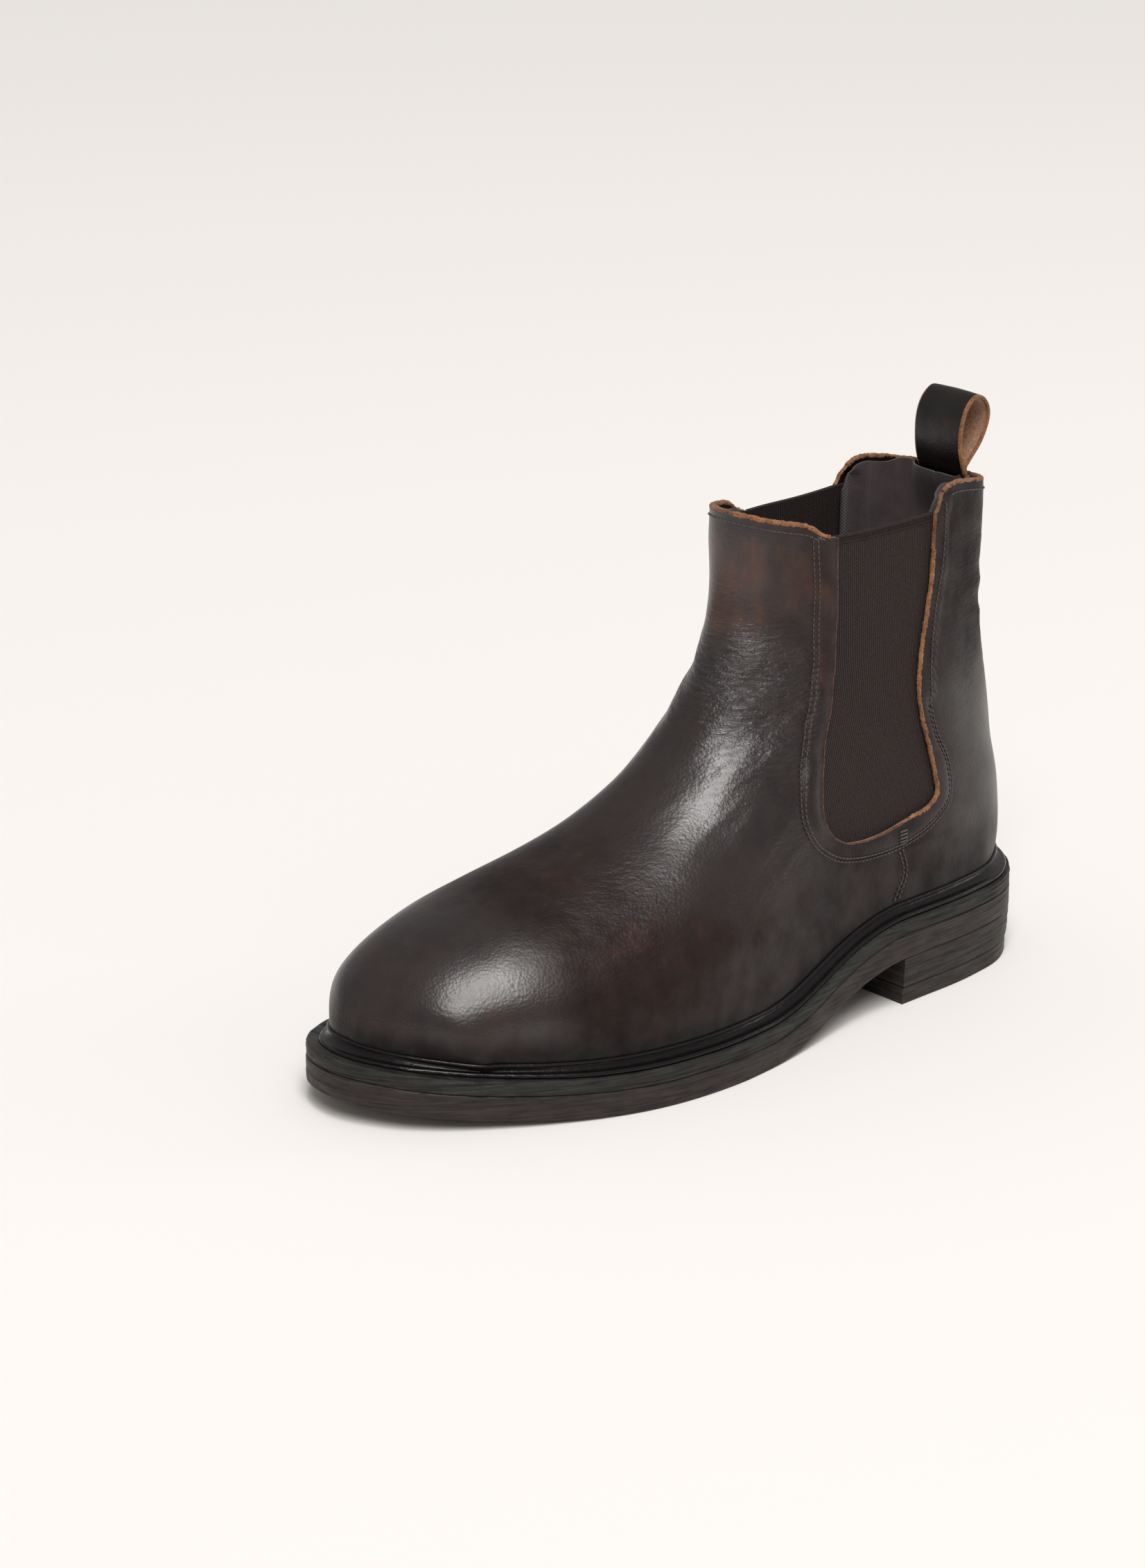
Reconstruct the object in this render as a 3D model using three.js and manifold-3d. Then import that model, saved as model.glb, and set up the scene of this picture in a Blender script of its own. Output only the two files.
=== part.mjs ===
// A left chelsea boot, about EU size 42: a whole vamp, two quarters with a back seam, elastic gores,
// a leather pull tab at the back, a storm welt and a stacked heel. Millimetres, +Z up, toe towards -Y.
//
// Design coordinates: s runs forward from the back of the heel, x runs to the outer (lateral) side and
// z runs up from the floor. at(x, s, z) turns them into the part's own frame.
import * as THREE from 'three';
import { mergeVertices } from 'three/addons/utils/BufferGeometryUtils.js';
import Module from 'manifold-3d';

const wasm = await Module();
wasm.setup();

// ---------------------------------------------------------------- driving dimensions
const SOLE_LENGTH = 302;
const HEEL_LENGTH = 83;         // back of the heel to the heel breast
const HEEL_HEIGHT = 17.6;       // floor to the underside of the outsole
const WAIST_START = 160;        // where the sole starts to rise towards the heel
const SEAT_START = 80;          // where it is level again
const TOE_SPRING = 7.9;         // lift of the sole at the toe tip
const SPRING_START = 205;       // where the toe spring starts
const OUTSOLE = 8.8;
const MIDSOLE = 5.0;
const GAP = 0.3;                // clearance between touching pieces
const LEATHER = [0, 1.7];       // depth of each layer below the outer face of the upper
const MIDDLE = [2.1, 3.1];      // gores, toe puff, heel counter and the sewn ends of the tab
const LINING = [3.5, 4.2];
const HEEL_GRIP = [4.6, 5.3];
const LEG_CENTRE = -3.5;        // x of the middle of the shaft and heel
const FILLER_HEIGHT = 2.0;      // cork filler and shank, on the midsole
const BOARD_HEIGHT = 2.5;
const SOCK_HEIGHT = 1.5;
const BOARD_INSET = 5.5;        // feather line to the edge of the insole board
const FILLER_INSET = 9;
const FILLER_START = 176;       // the shank fills the waist behind it
const SHANK_HEIGHT = 1.4;
const TOP_PIECE = 6.4;          // rubber piece that the heel stands on
const LIFT_COUNT = 3;
const HEEL_TAPER = 1.1;         // how much the heel narrows from seat to floor, each side
const TAB_WIDTH = 23.4;
const TAB_THICKNESS = 1.6;
const NAIL_RADIUS = 1.3;
const NAIL_HEAD_RADIUS = 2.8;
const NAIL_HEAD_HEIGHT = 0.9;
const NAIL_TIP = 9.5;           // height of the nail tips, inside the lowest lift

const FEATHER_INSET = 5.5;      // sole edge to the lower edge of the upper, more at the toe
const FEATHER_INSET_TOE = 3;

// Outline of the sole from above, as [s, x]: out along the lateral side and back along the medial side.
const SOLE_OUTLINE = [
  [0, -3.5], [6, 14], [22, 29], [45, 36], [75, 39.5], [110, 43], [145, 51], [180, 57], [210, 56],
  [235, 49.5], [258, 39], [278, 27], [292, 14], [301, -3], [302, -14], [298, -27], [286, -39],
  [268, -48.5], [243, -54], [215, -52], [180, -42.5], [145, -33], [110, -31], [75, -34.5], [45, -37],
  [22, -33], [6, -20],
];

// The upper is a loft through flat sections that all run across the boot. Seen from the side, a section is
// a line from its foot (on the feather line, then up the back) to its crest (toe, ridge, front of the leg).
// Columns: foot s, z | crest s, z | crest x | widest x, lateral and medial | how far up the line the widest
// place is | roundness of the crest half and of the foot half.
// The loft starts about 3 mm below the top of the midsole, which trims it.
const STATIONS = [
  [262, 14.1, 293.4, 18.2, -12.5, 27.5, -41, 0.02, 2.1, 2],
  [262, 14.1, 291.8, 34, -12, 28.5, -41.5, 0.12, 2.1, 2],
  [262, 14.1, 283, 47.5, -11.5, 30.2, -42.5, 0.26, 2.1, 2],
  [261, 14, 267, 57, -10.8, 32.4, -43.2, 0.34, 2.1, 2],
  [252, 13.2, 247, 63.5, -9.5, 39.3, -46.8, 0.36, 2.1, 2],
  [234, 12.1, 226, 69, -8.5, 46.5, -49, 0.36, 2, 2],
  [208, 11.4, 203, 76, -7.5, 51.2, -46.6, 0.36, 1.9, 2],
  [180, 11.4, 184, 84.5, -6.5, 51.5, -41.5, 0.37, 1.85, 2],
  [150, 12.1, 168, 95.5, -5.5, 47, -36.5, 0.38, 1.85, 2],
  [118, 20.9, 155, 108.5, -4.5, 41, -34, 0.41, 1.85, 2],
  [84, 28.9, 146, 120.5, -4, 37.2, -34, 0.42, 1.85, 2],
  [50, 29, 140.8, 131.5, -3.7, 34, -33, 0.42, 1.85, 2.05],
  [20, 29, 138, 141, -3.6, 31, -32, 0.44, 1.9, 2.1],
  [11, 29, 137.6, 142.8, -3.5, 30.3, -31.9, 0.44, 1.91, 2.12],
  [6.8, 29, 137.3, 144.2, -3.5, 29.7, -31.8, 0.44, 1.92, 2.13],
  [5.5, 29, 137, 145.5, -3.5, 29, -31.6, 0.44, 1.93, 2.14],
  [3.2, 46, 136, 150, -3.5, 27.3, -31, 0.45, 1.95, 2.2],
  [4, 66, 134.8, 157, -3.5, 25, -30.5, 0.48, 2, 2.15],
  [11.5, 92, 134, 163.5, -3.5, 23.5, -30, 0.53, 2.05, 2],
  [19, 118, 133.7, 171, -3.5, 22, -29, 0.58, 2.1, 1.9],
  [21, 142, 133.5, 178.5, -3.5, 21.5, -28.5, 0.61, 2.1, 1.8],
  [20, 172, 133.5, 187, -3.5, 21.5, -28.5, 0.62, 2.1, 1.8],
  [18, 192, 133.5, 198, -3.5, 21.5, -28.5, 0.62, 2.1, 1.8],
];
const CLOSED_STATION = 15;      // from here up, a section is a closed loop that meets at the back

// Side-view outlines as [s, z].
const GORE_FRONT_EDGE = [
  [80, 66.3], [90.5, 65], [102.5, 65.2], [111.5, 67], [118, 71.5], [120.5, 78.5], [118.3, 89],
  [112.5, 102], [104.5, 119.5], [102, 137], [101.8, 171.5],
];
const GORE_REAR_EDGE = [
  [53, 171.5], [53.8, 160.5], [54.5, 150], [57.3, 137], [62, 122.5], [64.2, 108.5], [63.3, 98.5],
  [60.5, 86], [59.3, 79.5], [59.3, 72], [64, 68.6], [76, 66.8],
];
const GORE_CUT = [
  [45, 171.5], [45.5, 160], [46.5, 150], [49.5, 137], [54, 122], [56.5, 108], [55, 93], [50.8, 81],
  [51, 69], [60.3, 62], [73.7, 58.2], [88.3, 57.1], [105.3, 58.6], [117, 62.1], [127, 69.8],
  [130.2, 78.7], [127.6, 90.7], [122.5, 102.4], [111.8, 124], [110, 145.5], [111, 171.5],
];
const TOPLINE = [
  [-20, 176.5], [20, 177], [32, 179], [42, 180], [47, 178.5], [50.5, 175], [53, 171.5],
  [101.8, 171.5], [104.5, 172], [107.5, 173], [109.8, 175], [113, 176.8], [118, 178], [124, 179.2],
  [133, 181.5], [150, 184],
];
const SIDE_SEAM = [[84, -5], [83.4, 37.4], [81.3, 41], [78.8, 47], [80, 54], [80.5, 66], [80.5, 200]];
const LINING_SEAM = [[92, -5], [92, 200]];
const TOE_PUFF_EDGE = [[250, -5], [250, 30], [244, 45], [238, 90]];
const COUNTER_EDGE = [[76, -5], [72, 45], [58, 58], [46, 66], [44, 82], [30, 92], [10, 95], [-20, 95]];
const HEEL_GRIP_EDGE = [[-20, 60], [40, 60], [36, 100], [38, 140], [38, 200], [-20, 200]];

// Middle line of the pull tab's loop, as [s, z], from the front leg over the top to the back leg.
const TAB_LOOP = [
  [28.6, 181.2], [29.6, 185], [30.2, 191], [29.6, 197.5], [27, 203.4], [22.6, 206.4], [18.6, 205],
  [16.4, 200.8], [16.8, 195.5], [19.8, 189.6], [24.2, 184.6], [26.9, 181.2],
];
const TAB_ENDS = { low: 158, high: 177 };    // heights of the sewn ends

// From above, as [s, x].
const SHANK_OUTLINE = [[48, -8], [110, -2], [168, 0], [168, 14], [110, 10], [48, 6]];
const NAILS = [[24, -14], [24, 7], [60, -22], [60, 16]];

// Cross-section of the welt: distance outside the feather line, height above the midsole.
const WELT_PROFILE = [[-4, -2], [3.8, -2], [3.8, 1.7], [2.6, 2.8], [2.4, 5.1], [-4, 5.2]];

// Cross rows that everything following the curve of the sole shares.
const ROW_STEP = 8;
const CROSS_ROWS = Array.from({ length: Math.ceil(SOLE_LENGTH / ROW_STEP) + 1 }, (_, k) => k * ROW_STEP);
CROSS_ROWS.push(HEEL_LENGTH);
CROSS_ROWS.sort((a, b) => a - b);

// ---------------------------------------------------------------- materials
const material = (color, roughness, metalness = 0) =>
  new THREE.MeshStandardMaterial({ color, roughness, metalness });
const leather = material(0x2c1b17, 0.38);
const elastic = material(0x1d1817, 0.9);
const lining = material(0x3a2c2d, 0.85);
const board = material(0x8a6a48, 0.9);
const cork = material(0x9c7a50, 0.95);
const steel = material(0x8c8f93, 0.35, 1);
const weltRubber = material(0x0e0c0c, 0.3);
const midsoleLeather = material(0x2a2925, 0.6);
const outsoleLeather = material(0x2e2422, 0.6);
const topPieceRubber = material(0x241d1c, 0.7);
const sockLeather = material(0x4b352b, 0.7);

// ---------------------------------------------------------------- curves
const at = (x, s, z) => new THREE.Vector3(x, -s, z);

// Smooth value of a table column at a fractional row, level where the column turns or stays the same.
function columnAt(table, column, t) {
  const row = Math.min(Math.floor(t), table.length - 2);
  const u = t - row;
  const pick = (k) => table[Math.min(Math.max(k, 0), table.length - 1)][column];
  const [a, b, c, d] = [pick(row - 1), pick(row), pick(row + 1), pick(row + 2)];
  const slope = (before, here, after) => ((here - before) * (after - here) > 0 ? (after - before) / 2 : 0);
  const slopeB = slope(a, b, c);
  const slopeC = slope(b, c, d);
  const rise = c - b;
  return b + u * (slopeB + u * (3 * rise - 2 * slopeB - slopeC + u * (slopeB + slopeC - 2 * rise)));
}

// Underside of the outsole: toe spring, flat ball, rising waist, flat heel seat.
function soleUnderside(s) {
  if (s > SPRING_START) {
    return TOE_SPRING * ((s - SPRING_START) / (SOLE_LENGTH - SPRING_START)) ** 2;
  }
  return HEEL_HEIGHT * (1 - THREE.MathUtils.smoothstep(s, SEAT_START, WAIST_START));
}
const midsoleTop = (s) => soleUnderside(s) + OUTSOLE + GAP + MIDSOLE;

// Closed smooth loop through [s, x] points, as a dense list of Vector2(s, x).
function smoothLoop(points, count) {
  const knots = points.map(([s, x]) => new THREE.Vector3(s, x, 0));
  const curve = new THREE.CatmullRomCurve3(knots, true, 'centripetal');
  return curve.getPoints(count).slice(0, count).map((p) => new THREE.Vector2(p.x, p.y));
}

// Moves a loop of (s, x) points inwards by inset(s).
function insetLoop(loop, inset) {
  const turn = Math.sign(THREE.ShapeUtils.area(loop));
  return loop.map((p, i) => {
    const before = loop[(i + loop.length - 1) % loop.length];
    const after = loop[(i + 1) % loop.length];
    const along = after.clone().sub(before).normalize();
    const step = inset(p.x) * turn;
    return new THREE.Vector2(p.x - along.y * step, p.y + along.x * step);
  });
}

// Lowest and highest x where a loop crosses one s.
function crossing(loop, s) {
  const xs = [];
  loop.forEach((p, i) => {
    const q = loop[(i + 1) % loop.length];
    if ((p.x <= s) !== (q.x <= s)) {
      xs.push(p.y + (q.y - p.y) * (s - p.x) / (q.x - p.x));
    }
  });
  return [Math.min(...xs), Math.max(...xs)];
}

// ---------------------------------------------------------------- the upper's surface
const SOLE_LOOP = smoothLoop(SOLE_OUTLINE, 160);
const WELT_STEPS = 60;
const featherInset = (s) => FEATHER_INSET + FEATHER_INSET_TOE * THREE.MathUtils.smoothstep(s, 230, 290);
const FEATHER_LOOP = insetLoop(SOLE_LOOP, featherInset);
const FEATHER_BACK = Math.min(...FEATHER_LOOP.map((p) => p.x));
const FEATHER_FRONT = Math.max(...FEATHER_LOOP.map((p) => p.x));
const TOE_BLEND = [0, 2];       // stations over which the toe leaves the shape of the feather line
const HEEL_BLEND = [8, 11];     // stations over which the back takes the heel's own shape
const LEG_BLEND = 3;            // stations above the closed one over which it takes the leg's width

function upperSection(t) {
  const value = STATIONS[0].map((_, column) => columnAt(STATIONS, column, t));
  const [footS, footZ, crestS, crestZ, crestX, lateral, medial, widestAt, crestRound, footRound] = value;
  const feather = t < CLOSED_STATION ? crossing(FEATHER_LOOP, footS) : [crestX, crestX];
  const toeShare = 1 - THREE.MathUtils.smoothstep(t, ...TOE_BLEND);
  const heelShare = THREE.MathUtils.smoothstep(t, ...HEEL_BLEND);
  const legShare = THREE.MathUtils.smoothstep(t, CLOSED_STATION, CLOSED_STATION + LEG_BLEND);
  const widestX = [Math.min(medial, feather[0] - 0.3), Math.max(lateral, feather[1] + 0.3)];
  return { footS, footZ, crestS, crestZ, crestX, widestAt, crestRound, footRound,
    widestX, feather, toeShare, heelShare, legShare };
}

// Half width of the feather line from above, where a section is some part of the way up.
function planHalfWidth(section, side, up) {
  const start = Math.max(section.footS, FEATHER_BACK) + 0.01;
  const s = Math.min(start + (section.crestS - section.footS) * up, FEATHER_FRONT - 0.01);
  return Math.abs(crossing(FEATHER_LOOP, s)[side] - section.crestX);
}

// Half width of the back part of a section: the shape of the feather line from above, brought to the
// section's own width at its widest place.
function heelHalfWidth(section, side, up) {
  const plan = (share) => planHalfWidth(section, side, share);
  const widest = Math.abs(section.widestX[side] - section.crestX);
  const way = up / section.widestAt;
  const fit = widest / plan(section.widestAt);
  const shaped = plan(up) * THREE.MathUtils.lerp(1 + (fit - 1) * section.legShare, fit, way);
  return THREE.MathUtils.lerp(shaped, widest, THREE.MathUtils.smoothstep(way, 0.3, 1));
}

// Point of a section on one side, a part of the way round from the crest (0) over the widest place (0.5)
// to the feather line (1).
function sectionPoint(section, side, way) {
  const { footS, footZ, crestS, crestZ, crestX, widestAt, crestRound, footRound } = section;
  const halfWidth = section.widestX[side] - crestX;
  let up;
  let out;
  if (way < 0.5) {
    const angle = way * Math.PI;
    up = widestAt + (1 - widestAt) * Math.cos(angle) ** (2 / crestRound);
    out = Math.sin(angle) ** (2 / crestRound);
  } else {
    const share = Math.min(Math.max((section.feather[side] - crestX) / halfWidth, 0), 1);
    const angle = (2 * way - 1) * Math.acos(share ** (footRound / 2));
    const reach = Math.max(1 - share ** footRound, 1e-9) ** (1 / footRound);
    up = widestAt * (1 - Math.sin(angle) ** (2 / footRound) / reach);
    out = Math.max(Math.cos(angle), 0) ** (2 / footRound);
    if (section.heelShare > 0 && out > 1e-6) {
      const heelOut = heelHalfWidth(section, side, up) / Math.abs(halfWidth);
      out = THREE.MathUtils.lerp(out, heelOut, section.heelShare);
    }
  }
  if (section.toeShare > 0 && way > 0) {
    const toeOut = planHalfWidth(section, side, up) / Math.abs(halfWidth);
    out = THREE.MathUtils.lerp(out, toeOut, section.toeShare);
  }
  return at(crestX + halfWidth * out, footS + (crestS - footS) * up, footZ + (crestZ - footZ) * up);
}

// Points of one side of a section from the crest to the feather line. On the leg they crowd towards the
// front and the back, where the leg is round.
const SIDE_STEPS = 11;
const SIDE_SAMPLES = 80;
const LEG_CROWDING = 0.55;
function sectionSide(section, side) {
  const dense = Array.from({ length: SIDE_SAMPLES + 1 }, (_, k) =>
    sectionPoint(section, side, k / SIDE_SAMPLES));
  const travelled = [0];
  dense.slice(1).forEach((p, k) => travelled.push(travelled[k] + p.distanceTo(dense[k])));
  const crowding = LEG_CROWDING * section.heelShare / (2 * Math.PI);
  return Array.from({ length: SIDE_STEPS + 1 }, (_, k) => {
    const share = k / SIDE_STEPS;
    const target = travelled[SIDE_SAMPLES] * (share - crowding * Math.sin(2 * Math.PI * share));
    const next = Math.max(travelled.findIndex((length) => length >= target - 1e-6), 1);
    const part = (target - travelled[next - 1]) / (travelled[next] - travelled[next - 1]);
    return dense[next - 1].clone().lerp(dense[next], part);
  });
}

// A whole section, from the lateral feather line over the crest to the medial feather line.
function sectionRow(t) {
  const section = upperSection(t);
  return [...sectionSide(section, 1).reverse(), ...sectionSide(section, 0).slice(1)];
}

// Grid of points on the outer face with the inward direction at each.
function upperGrid(rows) {
  const points = rows.map(sectionRow);
  const key = (p) => [p.x, p.y, p.z].map((c) => Math.round(c * 10)).join();
  const sums = new Map();
  const add = (p, n) => {
    const sum = sums.get(key(p)) ?? new THREE.Vector3();
    sums.set(key(p), sum.add(n));
  };
  for (let i = 0; i + 1 < rows.length; i += 1) {
    for (let j = 0; j < 2 * SIDE_STEPS; j += 1) {
      const [a, b, c, d] = [points[i][j], points[i + 1][j], points[i + 1][j + 1], points[i][j + 1]];
      const normal = d.clone().sub(b).cross(c.clone().sub(a));
      [a, b, c, d].forEach((p) => add(p, normal));
    }
  }
  const inward = points.map((row, i) => row.map((p, j) => {
    const direction = sums.get(key(p)).clone();
    if (rows[i] < CLOSED_STATION && (j === 0 || j === 2 * SIDE_STEPS)) {
      direction.z = 0;
    }
    return direction.normalize();
  }));
  return { points, inward };
}

const HALF_ROWS_UP_TO = 8;     // the forepart has a row half-way between stations
const rowValues = STATIONS.flatMap((_, k) => (k < HALF_ROWS_UP_TO ? [k, k + 0.5] : [k]));
const GRID = upperGrid(rowValues);

// ---------------------------------------------------------------- solids
// Closed geometry from flat corner coordinates, with shared corners merged.
function closedGeometry(triangles) {
  const soup = new THREE.BufferGeometry();
  const numbers = triangles.flatMap((p) => [p.x, p.y, p.z]);
  soup.setAttribute('position', new THREE.Float32BufferAttribute(numbers, 3));
  const merged = mergeVertices(soup, 1e-3);
  const index = merged.getIndex().array;
  const kept = [];
  for (let k = 0; k < index.length; k += 3) {
    const [a, b, c] = index.slice(k, k + 3);
    if (a !== b && b !== c && c !== a) {
      kept.push(a, b, c);
    }
  }
  merged.setIndex(kept);
  return merged;
}

function toSolid(geometry) {
  const bare = geometry.clone();
  bare.deleteAttribute('normal');
  bare.deleteAttribute('uv');
  const merged = mergeVertices(bare, 1e-4);
  return new wasm.Manifold(new wasm.Mesh({
    numProp: 3,
    vertProperties: new Float32Array(merged.attributes.position.array),
    triVerts: new Uint32Array(merged.index.array),
  }));
}

function toGeometry(solid) {
  const mesh = solid.getMesh();
  const geometry = new THREE.BufferGeometry();
  geometry.setAttribute('position', new THREE.BufferAttribute(mesh.vertProperties, 3));
  geometry.setIndex(new THREE.BufferAttribute(mesh.triVerts, 1));
  geometry.computeVertexNormals();
  return geometry;
}

// The largest body of a solid, without the offcuts that a cut leaves.
function mainBody(solid) {
  return solid.decompose().reduce((best, body) => (body.volume() > best.volume() ? body : best));
}

const quad = (a, b, c, d) => [a, b, c, a, c, d];

// Whether a cell of the grid folds along its second diagonal, the shorter one. All layers fold alike.
function foldsAcross(i, j) {
  const { points } = GRID;
  return points[i + 1][j].distanceTo(points[i][j + 1]) < points[i][j].distanceTo(points[i + 1][j + 1]);
}

// The solid inside the upper's outer face, or inside a face some depth below it.
function upperCore(depth) {
  const face = GRID.points.map((row, i) =>
    row.map((p, j) => p.clone().addScaledVector(GRID.inward[i][j], depth)));
  const last = 2 * SIDE_STEPS;
  const top = rowValues.length - 1;
  const triangles = [];
  for (let i = 0; i < top; i += 1) {
    for (let j = 0; j < last; j += 1) {
      const cell = [face[i][j], face[i + 1][j], face[i + 1][j + 1], face[i][j + 1]];
      if (foldsAcross(i, j)) {
        cell.push(cell.shift());
      }
      triangles.push(...quad(...cell));
    }
    triangles.push(...quad(face[i + 1][0], face[i][0], face[i][last], face[i + 1][last]));
  }
  for (let j = 0; j < SIDE_STEPS; j += 1) {
    triangles.push(...quad(face[0][j], face[0][j + 1], face[0][last - j - 1], face[0][last - j]));
    triangles.push(...quad(face[top][j + 1], face[top][j], face[top][last - j], face[top][last - j - 1]));
  }
  return toSolid(closedGeometry(triangles));
}

// One layer of the upper between two depths below its outer face.
function upperLayer([outerDepth, innerDepth]) {
  return upperCore(outerDepth).subtract(upperCore(innerDepth)).intersect(aboveMidsole());
}

// Everything above the midsole's top face.
function aboveMidsole() {
  const floor = CROSS_ROWS.map((s) => [s, midsoleTop(s) + GAP]);
  return sideCut([[-20, floor[0][1]], ...floor, [330, midsoleTop(330)], [330, 240], [-20, 240]]);
}

// Everything inside a side-view outline, between two x positions.
function sideCut(outline, fromX = -150, toX = 150) {
  const shape = new THREE.Shape(outline.map(([s, z]) => new THREE.Vector2(s, z)));
  const block = new THREE.ExtrudeGeometry(shape, { depth: toX - fromX, bevelEnabled: false });
  const turn = new THREE.Matrix4().makeBasis(at(0, 1, 0), at(0, 0, 1), at(-1, 0, 0));
  block.applyMatrix4(turn.setPosition(toX, 0, 0));
  return toSolid(block);
}

// A plate that follows the curve of the sole: outline loop, height of its two faces at each s.
const END_STEPS = [0.15, 1.2, 3.5, 7];
function plateRows(loop, lastS) {
  const all = loop.map((p) => p.x);
  const start = Math.min(...all);
  const end = Math.min(Math.max(...all), lastS);
  const cutSquare = end === lastS;
  const near = END_STEPS.map((d) => start + d);
  const far = cutSquare ? [end] : END_STEPS.map((d) => end - d).reverse();
  const middle = CROSS_ROWS.filter((s) => s > start + 9 && s < end - (cutSquare ? 1 : 9));
  return [...near, ...middle, ...far];
}

function plate(loop, lowAt, highAt, lastS = SOLE_LENGTH + 1, firstS = -1) {
  const rows = plateRows(loop, lastS).filter((s) => s >= firstS);
  const rings = rows.map((s) => {
    const [medial, lateral] = crossing(loop, s);
    return [at(medial, s, lowAt(s)), at(lateral, s, lowAt(s)), at(lateral, s, highAt(s)),
      at(medial, s, highAt(s))];
  });
  const triangles = [];
  for (let i = 0; i + 1 < rings.length; i += 1) {
    for (let k = 0; k < 4; k += 1) {
      const next = (k + 1) % 4;
      triangles.push(...quad(rings[i][k], rings[i][next], rings[i + 1][next], rings[i + 1][k]));
    }
  }
  const front = rings[rings.length - 1];
  triangles.push(...quad(rings[0][3], rings[0][2], rings[0][1], rings[0][0]));
  triangles.push(...quad(front[0], front[1], front[2], front[3]));
  return toSolid(closedGeometry(triangles));
}

// A ring swept along the feather line. Profile points are [distance outside the feather line, height
// above the midsole].
function sweptRing(loop, profile) {
  const rings = profile.map(([outside, height]) =>
    insetLoop(loop, () => -outside).map((p) => at(p.y, p.x, midsoleTop(p.x) + height)));
  const turn = Math.sign(THREE.ShapeUtils.area(loop));
  const triangles = [];
  for (let k = 0; k < profile.length; k += 1) {
    const [a, b] = [rings[k], rings[(k + 1) % profile.length]];
    for (let i = 0; i < loop.length; i += 1) {
      const next = (i + 1) % loop.length;
      const corners = [a[i], b[i], b[next], a[next]];
      triangles.push(...quad(...(turn < 0 ? corners : corners.reverse())));
    }
  }
  return toSolid(closedGeometry(triangles));
}

// ---------------------------------------------------------------- pieces
const boot = new THREE.Group();
function addPiece(name, solid, look) {
  const mesh = new THREE.Mesh(toGeometry(solid), look);
  mesh.name = name;
  boot.add(mesh);
}

const WINDOW = sideCut([...GORE_REAR_EDGE, ...GORE_FRONT_EDGE, [101.8, 220], [53, 220]]);
const belowTopline = (drop) => sideCut([[-20, -5], ...TOPLINE.map(([s, z]) => [s, z - drop]),
  [330, 184], [330, -5]]);
const ahead = (edge) => sideCut([...edge, [330, 200], [330, -5]]);
const behind = (edge, gap) => sideCut([...edge.map(([s, z]) => [s - gap, z]), [-20, 200], [-20, -5]]);
const lateralHalf = sideCut([[-20, -5], [-20, 220], [330, 220], [330, -5]], LEG_CENTRE + GAP / 2, 150);
const medialHalf = sideCut([[-20, -5], [-20, 220], [330, 220], [330, -5]], -150, LEG_CENTRE - GAP / 2);

function buildUpperLeather() {
  const skin = upperLayer(LEATHER).intersect(belowTopline(0)).subtract(WINDOW);
  const rear = skin.intersect(behind(SIDE_SEAM, GAP));
  addPiece('vamp', skin.intersect(ahead(SIDE_SEAM)), leather);
  addPiece('quarter_lateral', rear.intersect(lateralHalf), leather);
  addPiece('quarter_medial', rear.intersect(medialHalf), leather);
}

function buildMiddleLayer() {
  const layer = upperLayer(MIDDLE);
  const gores = layer.intersect(sideCut(GORE_CUT));
  addPiece('gore_lateral', gores.intersect(lateralHalf), elastic);
  addPiece('gore_medial', gores.intersect(medialHalf), elastic);
  addPiece('toe_puff', layer.intersect(ahead(TOE_PUFF_EDGE)), board);
  addPiece('heel_counter', layer.intersect(sideCut([...COUNTER_EDGE, [-20, -5]])), board);
  const tabEnds = [[-20, TAB_ENDS.low], [60, TAB_ENDS.low], [60, TAB_ENDS.high], [-20, TAB_ENDS.high]];
  const strip = sideCut(tabEnds, LEG_CENTRE - TAB_WIDTH / 2, LEG_CENTRE + TAB_WIDTH / 2);
  addPiece('pull_tab_ends', layer.intersect(strip), leather);
}

function buildLinings() {
  const drop = 0.8;
  const inside = upperLayer(LINING).intersect(belowTopline(drop)).subtract(WINDOW);
  addPiece('vamp_lining', inside.intersect(ahead(LINING_SEAM)), lining);
  addPiece('quarter_lining', inside.intersect(behind(LINING_SEAM, GAP)), lining);
  const grip = upperLayer(HEEL_GRIP).intersect(belowTopline(drop));
  addPiece('heel_grip', grip.intersect(sideCut(HEEL_GRIP_EDGE)), lining);
}

// The loop of the pull tab: a band that starts and ends at the topline.
function buildPullTab() {
  const knots = TAB_LOOP.map(([s, z]) => new THREE.Vector3(s, z, 0));
  const curve = new THREE.CatmullRomCurve3(knots, false, 'centripetal');
  const count = 26;
  const skip = 4;
  const middle = curve.getSpacedPoints(count);
  const side = (outward) => middle.map((p, i) => {
    const along = curve.getTangentAt(i / count);
    const half = outward * TAB_THICKNESS / 2;
    return new THREE.Vector2(p.x + along.y * half, p.y - along.x * half);
  });
  const shape = new THREE.Shape(side(1));
  shape.holes.push(new THREE.Path(side(-1).slice(skip, count + 1 - skip)));
  const band = new THREE.ExtrudeGeometry(shape, { depth: TAB_WIDTH, bevelEnabled: false });
  const turn = new THREE.Matrix4().makeBasis(at(0, 1, 0), at(0, 0, 1), at(-1, 0, 0));
  band.applyMatrix4(turn.setPosition(LEG_CENTRE + TAB_WIDTH / 2, 0, 0));
  addPiece('pull_tab', toSolid(band), leather);
}

// An upright rod, such as a heel nail, which is driven down from the insole board.
function upright(radius, low, high, s, x) {
  const sides = 10;
  const rod = new THREE.CylinderGeometry(radius, radius, high - low, sides);
  rod.rotateX(Math.PI / 2);
  rod.translate(x, -s, (low + high) / 2);
  return toSolid(rod);
}

function withNailHoles(solid, headSeat = 0) {
  return NAILS.reduce((body, [s, x]) => {
    const holed = body.subtract(upright(NAIL_RADIUS + GAP, NAIL_TIP - GAP, 60, s, x));
    return headSeat ? holed.subtract(upright(NAIL_HEAD_RADIUS + GAP, headSeat, 60, s, x)) : holed;
  }, solid);
}

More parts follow.
